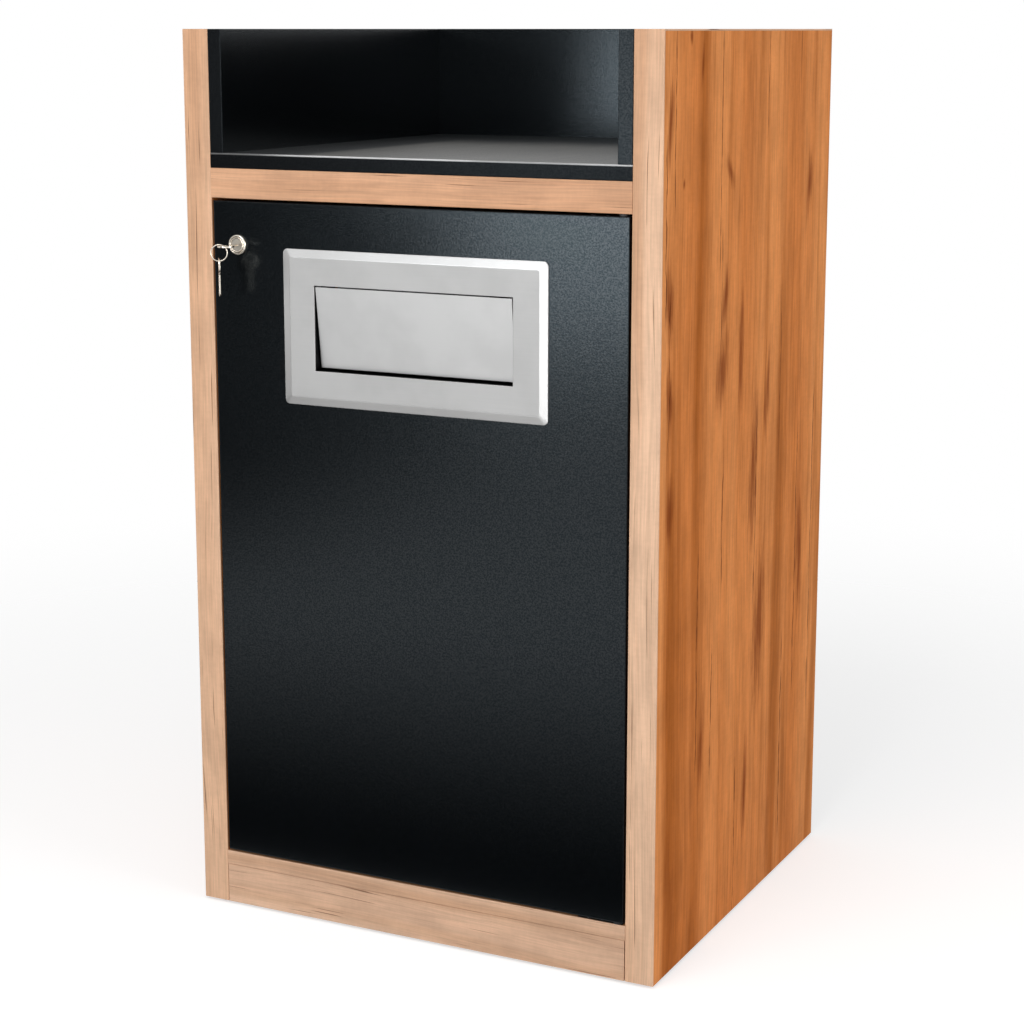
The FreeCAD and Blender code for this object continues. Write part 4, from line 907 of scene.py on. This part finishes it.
def axes_at(across, along, origin):
    """The matrix that lays a key's own axes along two directions at a point."""
    across, along = Vector(across), Vector(along)
    through = across.cross(along)
    return Matrix(((across.x, along.x, through.x, origin[0]), (across.y, along.y, through.y, origin[1]),
                   (across.z, along.z, through.z, origin[2]), (0, 0, 0, 1)))


RING_ACROSS = Vector((-0.573576, 0.819152, 0.0))
RING_SIDE = Vector((0.819152, 0.573576, 0.0))

low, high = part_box("key")
key_hole = (LOCK_AXIS[0], low.y + KEY_END, LOCK_AXIS[2])
blank = milled_key("stamped_key")
blank.transform(axes_at((1, 0, 0), (0, 1, 0), key_hole))
finished_piece("stamped_key", blank, nickel, "lock_barrel", ["key"], 35.0)

low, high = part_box("spare_key")
spare_hole = ((low.x + high.x) / 2, (low.y + high.y) / 2, high.z - KEY_END)
blank = milled_key("hanging_key")
blank.transform(axes_at(RING_ACROSS, (0, 0, -1), spare_hole))
finished_piece("hanging_key", blank, nickel, "spare_key", ["spare_key"], 35.0)

# %% [markdown]
# ## The split ring
#
# A key ring is flat spring wire wound twice, so that a key can be worked on between the turns. A torus would
# look solid. Here a flat oval section is carried round two turns, which lie side by side and change places
# halfway.

# %% Wind the split ring
WIRE_HALF_WIDE, WIRE_HALF_THICK = 0.00064, 0.00032
WIRE_INSET = 0.0007
TURN_ASIDE, TURN_CHANGE, TURN_START = 0.00034, 16, 0.9
WIRE_STEPS, WIRE_CORNERS = 192, 12

low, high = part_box("key_ring")
ring_middle = Vector(((low.x + high.x) / 2, (low.y + high.y) / 2, (low.z + high.z) / 2))
ring_radius = (high.z - low.z) / 2 - WIRE_INSET
points, faces = [], []
for step in range(WIRE_STEPS + 1):
    share = step / WIRE_STEPS
    angle = 4 * math.pi * share - math.pi / 2 + TURN_START
    outward = RING_SIDE * math.cos(angle) + Vector((0, 0, 1)) * math.sin(angle)
    heart = ring_middle + outward * ring_radius
    heart = heart + RING_ACROSS * TURN_ASIDE * math.tanh((share - 0.5) * TURN_CHANGE)
    for corner in range(WIRE_CORNERS):
        turn = 2 * math.pi * corner / WIRE_CORNERS
        points.append(heart + outward * WIRE_HALF_WIDE * math.cos(turn)
                      + RING_ACROSS * WIRE_HALF_THICK * math.sin(turn))
    last, here = (step - 1) * WIRE_CORNERS, step * WIRE_CORNERS
    for corner in range(WIRE_CORNERS if step else 0):
        ahead = (corner + 1) % WIRE_CORNERS
        faces.append((last + corner, last + ahead, here + ahead, here + corner))
faces += [tuple(range(WIRE_CORNERS)), tuple(range(here, here + WIRE_CORNERS))]
ring_mesh = bpy.data.meshes.new("split_ring")
ring_mesh.from_pydata(points, [], faces)
finished_piece("split_ring", ring_mesh, nickel, "key_ring", ["key_ring"], 60.0)

# %% [markdown]
# ## Floor and background
#
# The photograph has a plain white background. The floor is a pale disc that takes the cabinet's shadow and
# fades out, and the world beyond it is white to the camera and in reflections, but grey as a lamp, so that it
# doesn't flood the object.

# %% The floor
FLOOR_RADIUS = 4.0
FLOOR_DEPTH = -0.0005
FLOOR_GREY, FLOOR_GLOW = 0.58, 0.58
FADE_FROM, FADE_TO = 0.7, 2.4
WHITE = (1.0, 1.0, 1.0, 1.0)


def shown_rays(tree):
    """1 for a ray from the camera, a reflection or a clear piece, and 0 for one that only carries light."""
    seen = place(tree, "ShaderNodeLightPath").outputs
    indirect = sums(tree, "MAXIMUM", seen["Is Glossy Ray"], seen["Is Transmission Ray"])
    return sums(tree, "MAXIMUM", seen["Is Camera Ray"], indirect)


floor_mesh = bpy.data.meshes.new("floor")
disc = bmesh.new()
bmesh.ops.create_circle(disc, cap_ends=True, segments=96, radius=FLOOR_RADIUS)
disc.to_mesh(floor_mesh)
disc.free()
floor = new_object("floor", floor_mesh)
floor.location = (0.0, 0.0, FLOOR_DEPTH)

pale, tree, shader = new_finish("pale_floor")
tree.nodes.remove(shader)
strength = sums(tree, "MULTIPLY", shown_rays(tree), FLOOR_GLOW)
matt = place(tree, "ShaderNodeBsdfDiffuse", Color=(FLOOR_GREY, FLOOR_GREY, FLOOR_GREY, 1.0)).outputs[0]
glow = place(tree, "ShaderNodeEmission", Color=WHITE, Strength=strength).outputs[0]
both = fill_row(tree, tree.nodes.new("ShaderNodeAddShader"), (matt, glow)).outputs[0]
distance = vector_sums(tree, "LENGTH", here_of(tree))["Value"]
fade = spread(tree, distance, FADE_FROM, FADE_TO)
clear = place(tree, "ShaderNodeBsdfTransparent").outputs[0]
edge = fill_row(tree, tree.nodes.new("ShaderNodeMixShader"), (fade, both, clear)).outputs[0]
put(tree, tree.nodes["Material Output"].inputs["Surface"], edge)
floor_mesh.materials.append(pale)
print("floor radius", FLOOR_RADIUS, "m, fading from", FADE_FROM, "m")

# %% The world
WORLD_GREY = 0.42

world = bpy.data.worlds.new("studio")
bpy.context.scene.world = world
world.use_nodes = True
tree = world.node_tree
air = tree.nodes["Background"]
air.inputs["Color"].default_value = WHITE
put(tree, air.inputs["Strength"], spread(tree, shown_rays(tree), 0.0, 1.0, WORLD_GREY, 1.0))
print("world grey", WORLD_GREY, "as a lamp, white where it shows")

# %% [markdown]
# ## Lamps
#
# The front box and the top box give the form. The front box is kept out of reflections, so that it makes no
# white patch in the door or the steel. The left box shines in the door instead, and the tray box does the same
# in the back wall of the tray holder. The low strip gives the right slope of the steel frame its glint, the
# side box adds a little light from the left, and the right box lights the oak side.

# %% Set up the lamps
COOL = (0.92, 0.97, 1.0)


def soft_box(name, at, aim, width, height, power, mirrored=True, tint=(1.0, 1.0, 1.0)):
    """A flat lamp that the camera doesn't see, and that reflections see only where mirrored is set."""
    lamp = bpy.data.lights.new(name, "AREA")
    lamp.shape = "RECTANGLE"
    lamp.size, lamp.size_y = width, height
    lamp.energy = power
    lamp.color = tint
    holder = new_object(name, lamp)
    holder.location = at
    holder.rotation_euler = (Vector(aim) - Vector(at)).to_track_quat("-Z", "Y").to_euler()
    holder.visible_camera = False
    holder.visible_glossy = mirrored
    print(name, "at", at, "radiance", round(power / (math.pi * width * height), 2))


soft_box("front_box", (0.15, -3.2, 1.2), (0.1, 0.0, 0.9), 1.2, 2.0, 25.0, False)
soft_box("top_box", (0.0, -1.5, 2.6), (0.0, 0.1, 0.7), 1.4, 1.2, 18.0)
soft_box("left_box", (-0.88, -3.1, 0.91), (0.0, 0.0, 0.85), 0.92, 1.14, 13.3, True, COOL)
soft_box("tray_box", (-1.115, -2.75, 0.955), (0.0, 0.0, 1.0), 0.64, 0.28, 2.5, True, COOL)
soft_box("side_box", (-2.8, -1.6, 0.7), (-0.2, -0.3, 0.75), 0.8, 1.1, 1.4)
soft_box("low_strip", (0.30, -3.2, 0.34), (0.2, 0.0, 0.7), 0.5, 0.5, 4.5)
soft_box("right_box", (3.2, -0.6, 1.2), (0.0, 0.0, 0.5), 1.8, 1.8, 34.5)

# %% [markdown]
# ## Dark cards
#
# A glossy black board is a mirror: it looks black only where something dark stands opposite. A photographer
# lays black cards beside such an object, out of the picture, and so does this scene. The cards show only in
# reflections, and their cloth thins out, so that a reflection has no hard end.

# %% Lay the dark cards
CLOTH_TONES = ((0.004, 0.004, 0.004, 1.0), (0.008, 0.008, 0.008, 1.0))
NAP_SCALE = 300.0


def dark_card(name, corners, cloth):
    """A flat card that only reflections see."""
    mesh = bpy.data.meshes.new(name)
    mesh.from_pydata(corners, [], [(0, 1, 2, 3)])
    card = new_object(name, mesh)
    card.visible_camera = False
    card.visible_diffuse = False
    card.visible_shadow = False
    mesh.materials.append(cloth)
    print(name, "from", corners[0], "to", corners[2])


def card_cloth(name, lying):
    """Black cloth that thins out to the front where it lies, and downwards where it hangs."""
    cloth, tree, shader = new_finish(name)
    spot = here_of(tree)
    put(tree, shader.inputs["Base Color"], mixed(tree, even_noise(tree, spot, NAP_SCALE), *CLOTH_TONES))
    shader.inputs["Specular IOR Level"].default_value = 0.0
    axes = place(tree, "ShaderNodeSeparateXYZ", Vector=spot).outputs
    if lying:
        near = spread(tree, axes[1], -1.8, -0.5)
        left = spread(tree, axes[0], -1.9, -0.9, 1.0, 0.0)
        thick = sums(tree, "MAXIMUM", near, left)
    else:
        thick = spread(tree, axes[2], 0.35, 0.75, 0.85, 1.0)
    put(tree, shader.inputs["Alpha"], thick)
    return cloth


floor_cloth = card_cloth("floor_card_cloth", True)
wall_cloth = card_cloth("wall_card_cloth", False)
dark_card("floor_card", [(-3.6, -0.40, 0.002), (0.6, -0.40, 0.002), (0.6, -3.2, 0.002), (-3.6, -3.2, 0.002)],
          floor_cloth)
dark_card("left_card", [(-1.42, -3.1, 0.05), (-1.42, -3.1, 1.4), (-2.3, -2.1, 1.4), (-2.3, -2.1, 0.05)],
          wall_cloth)
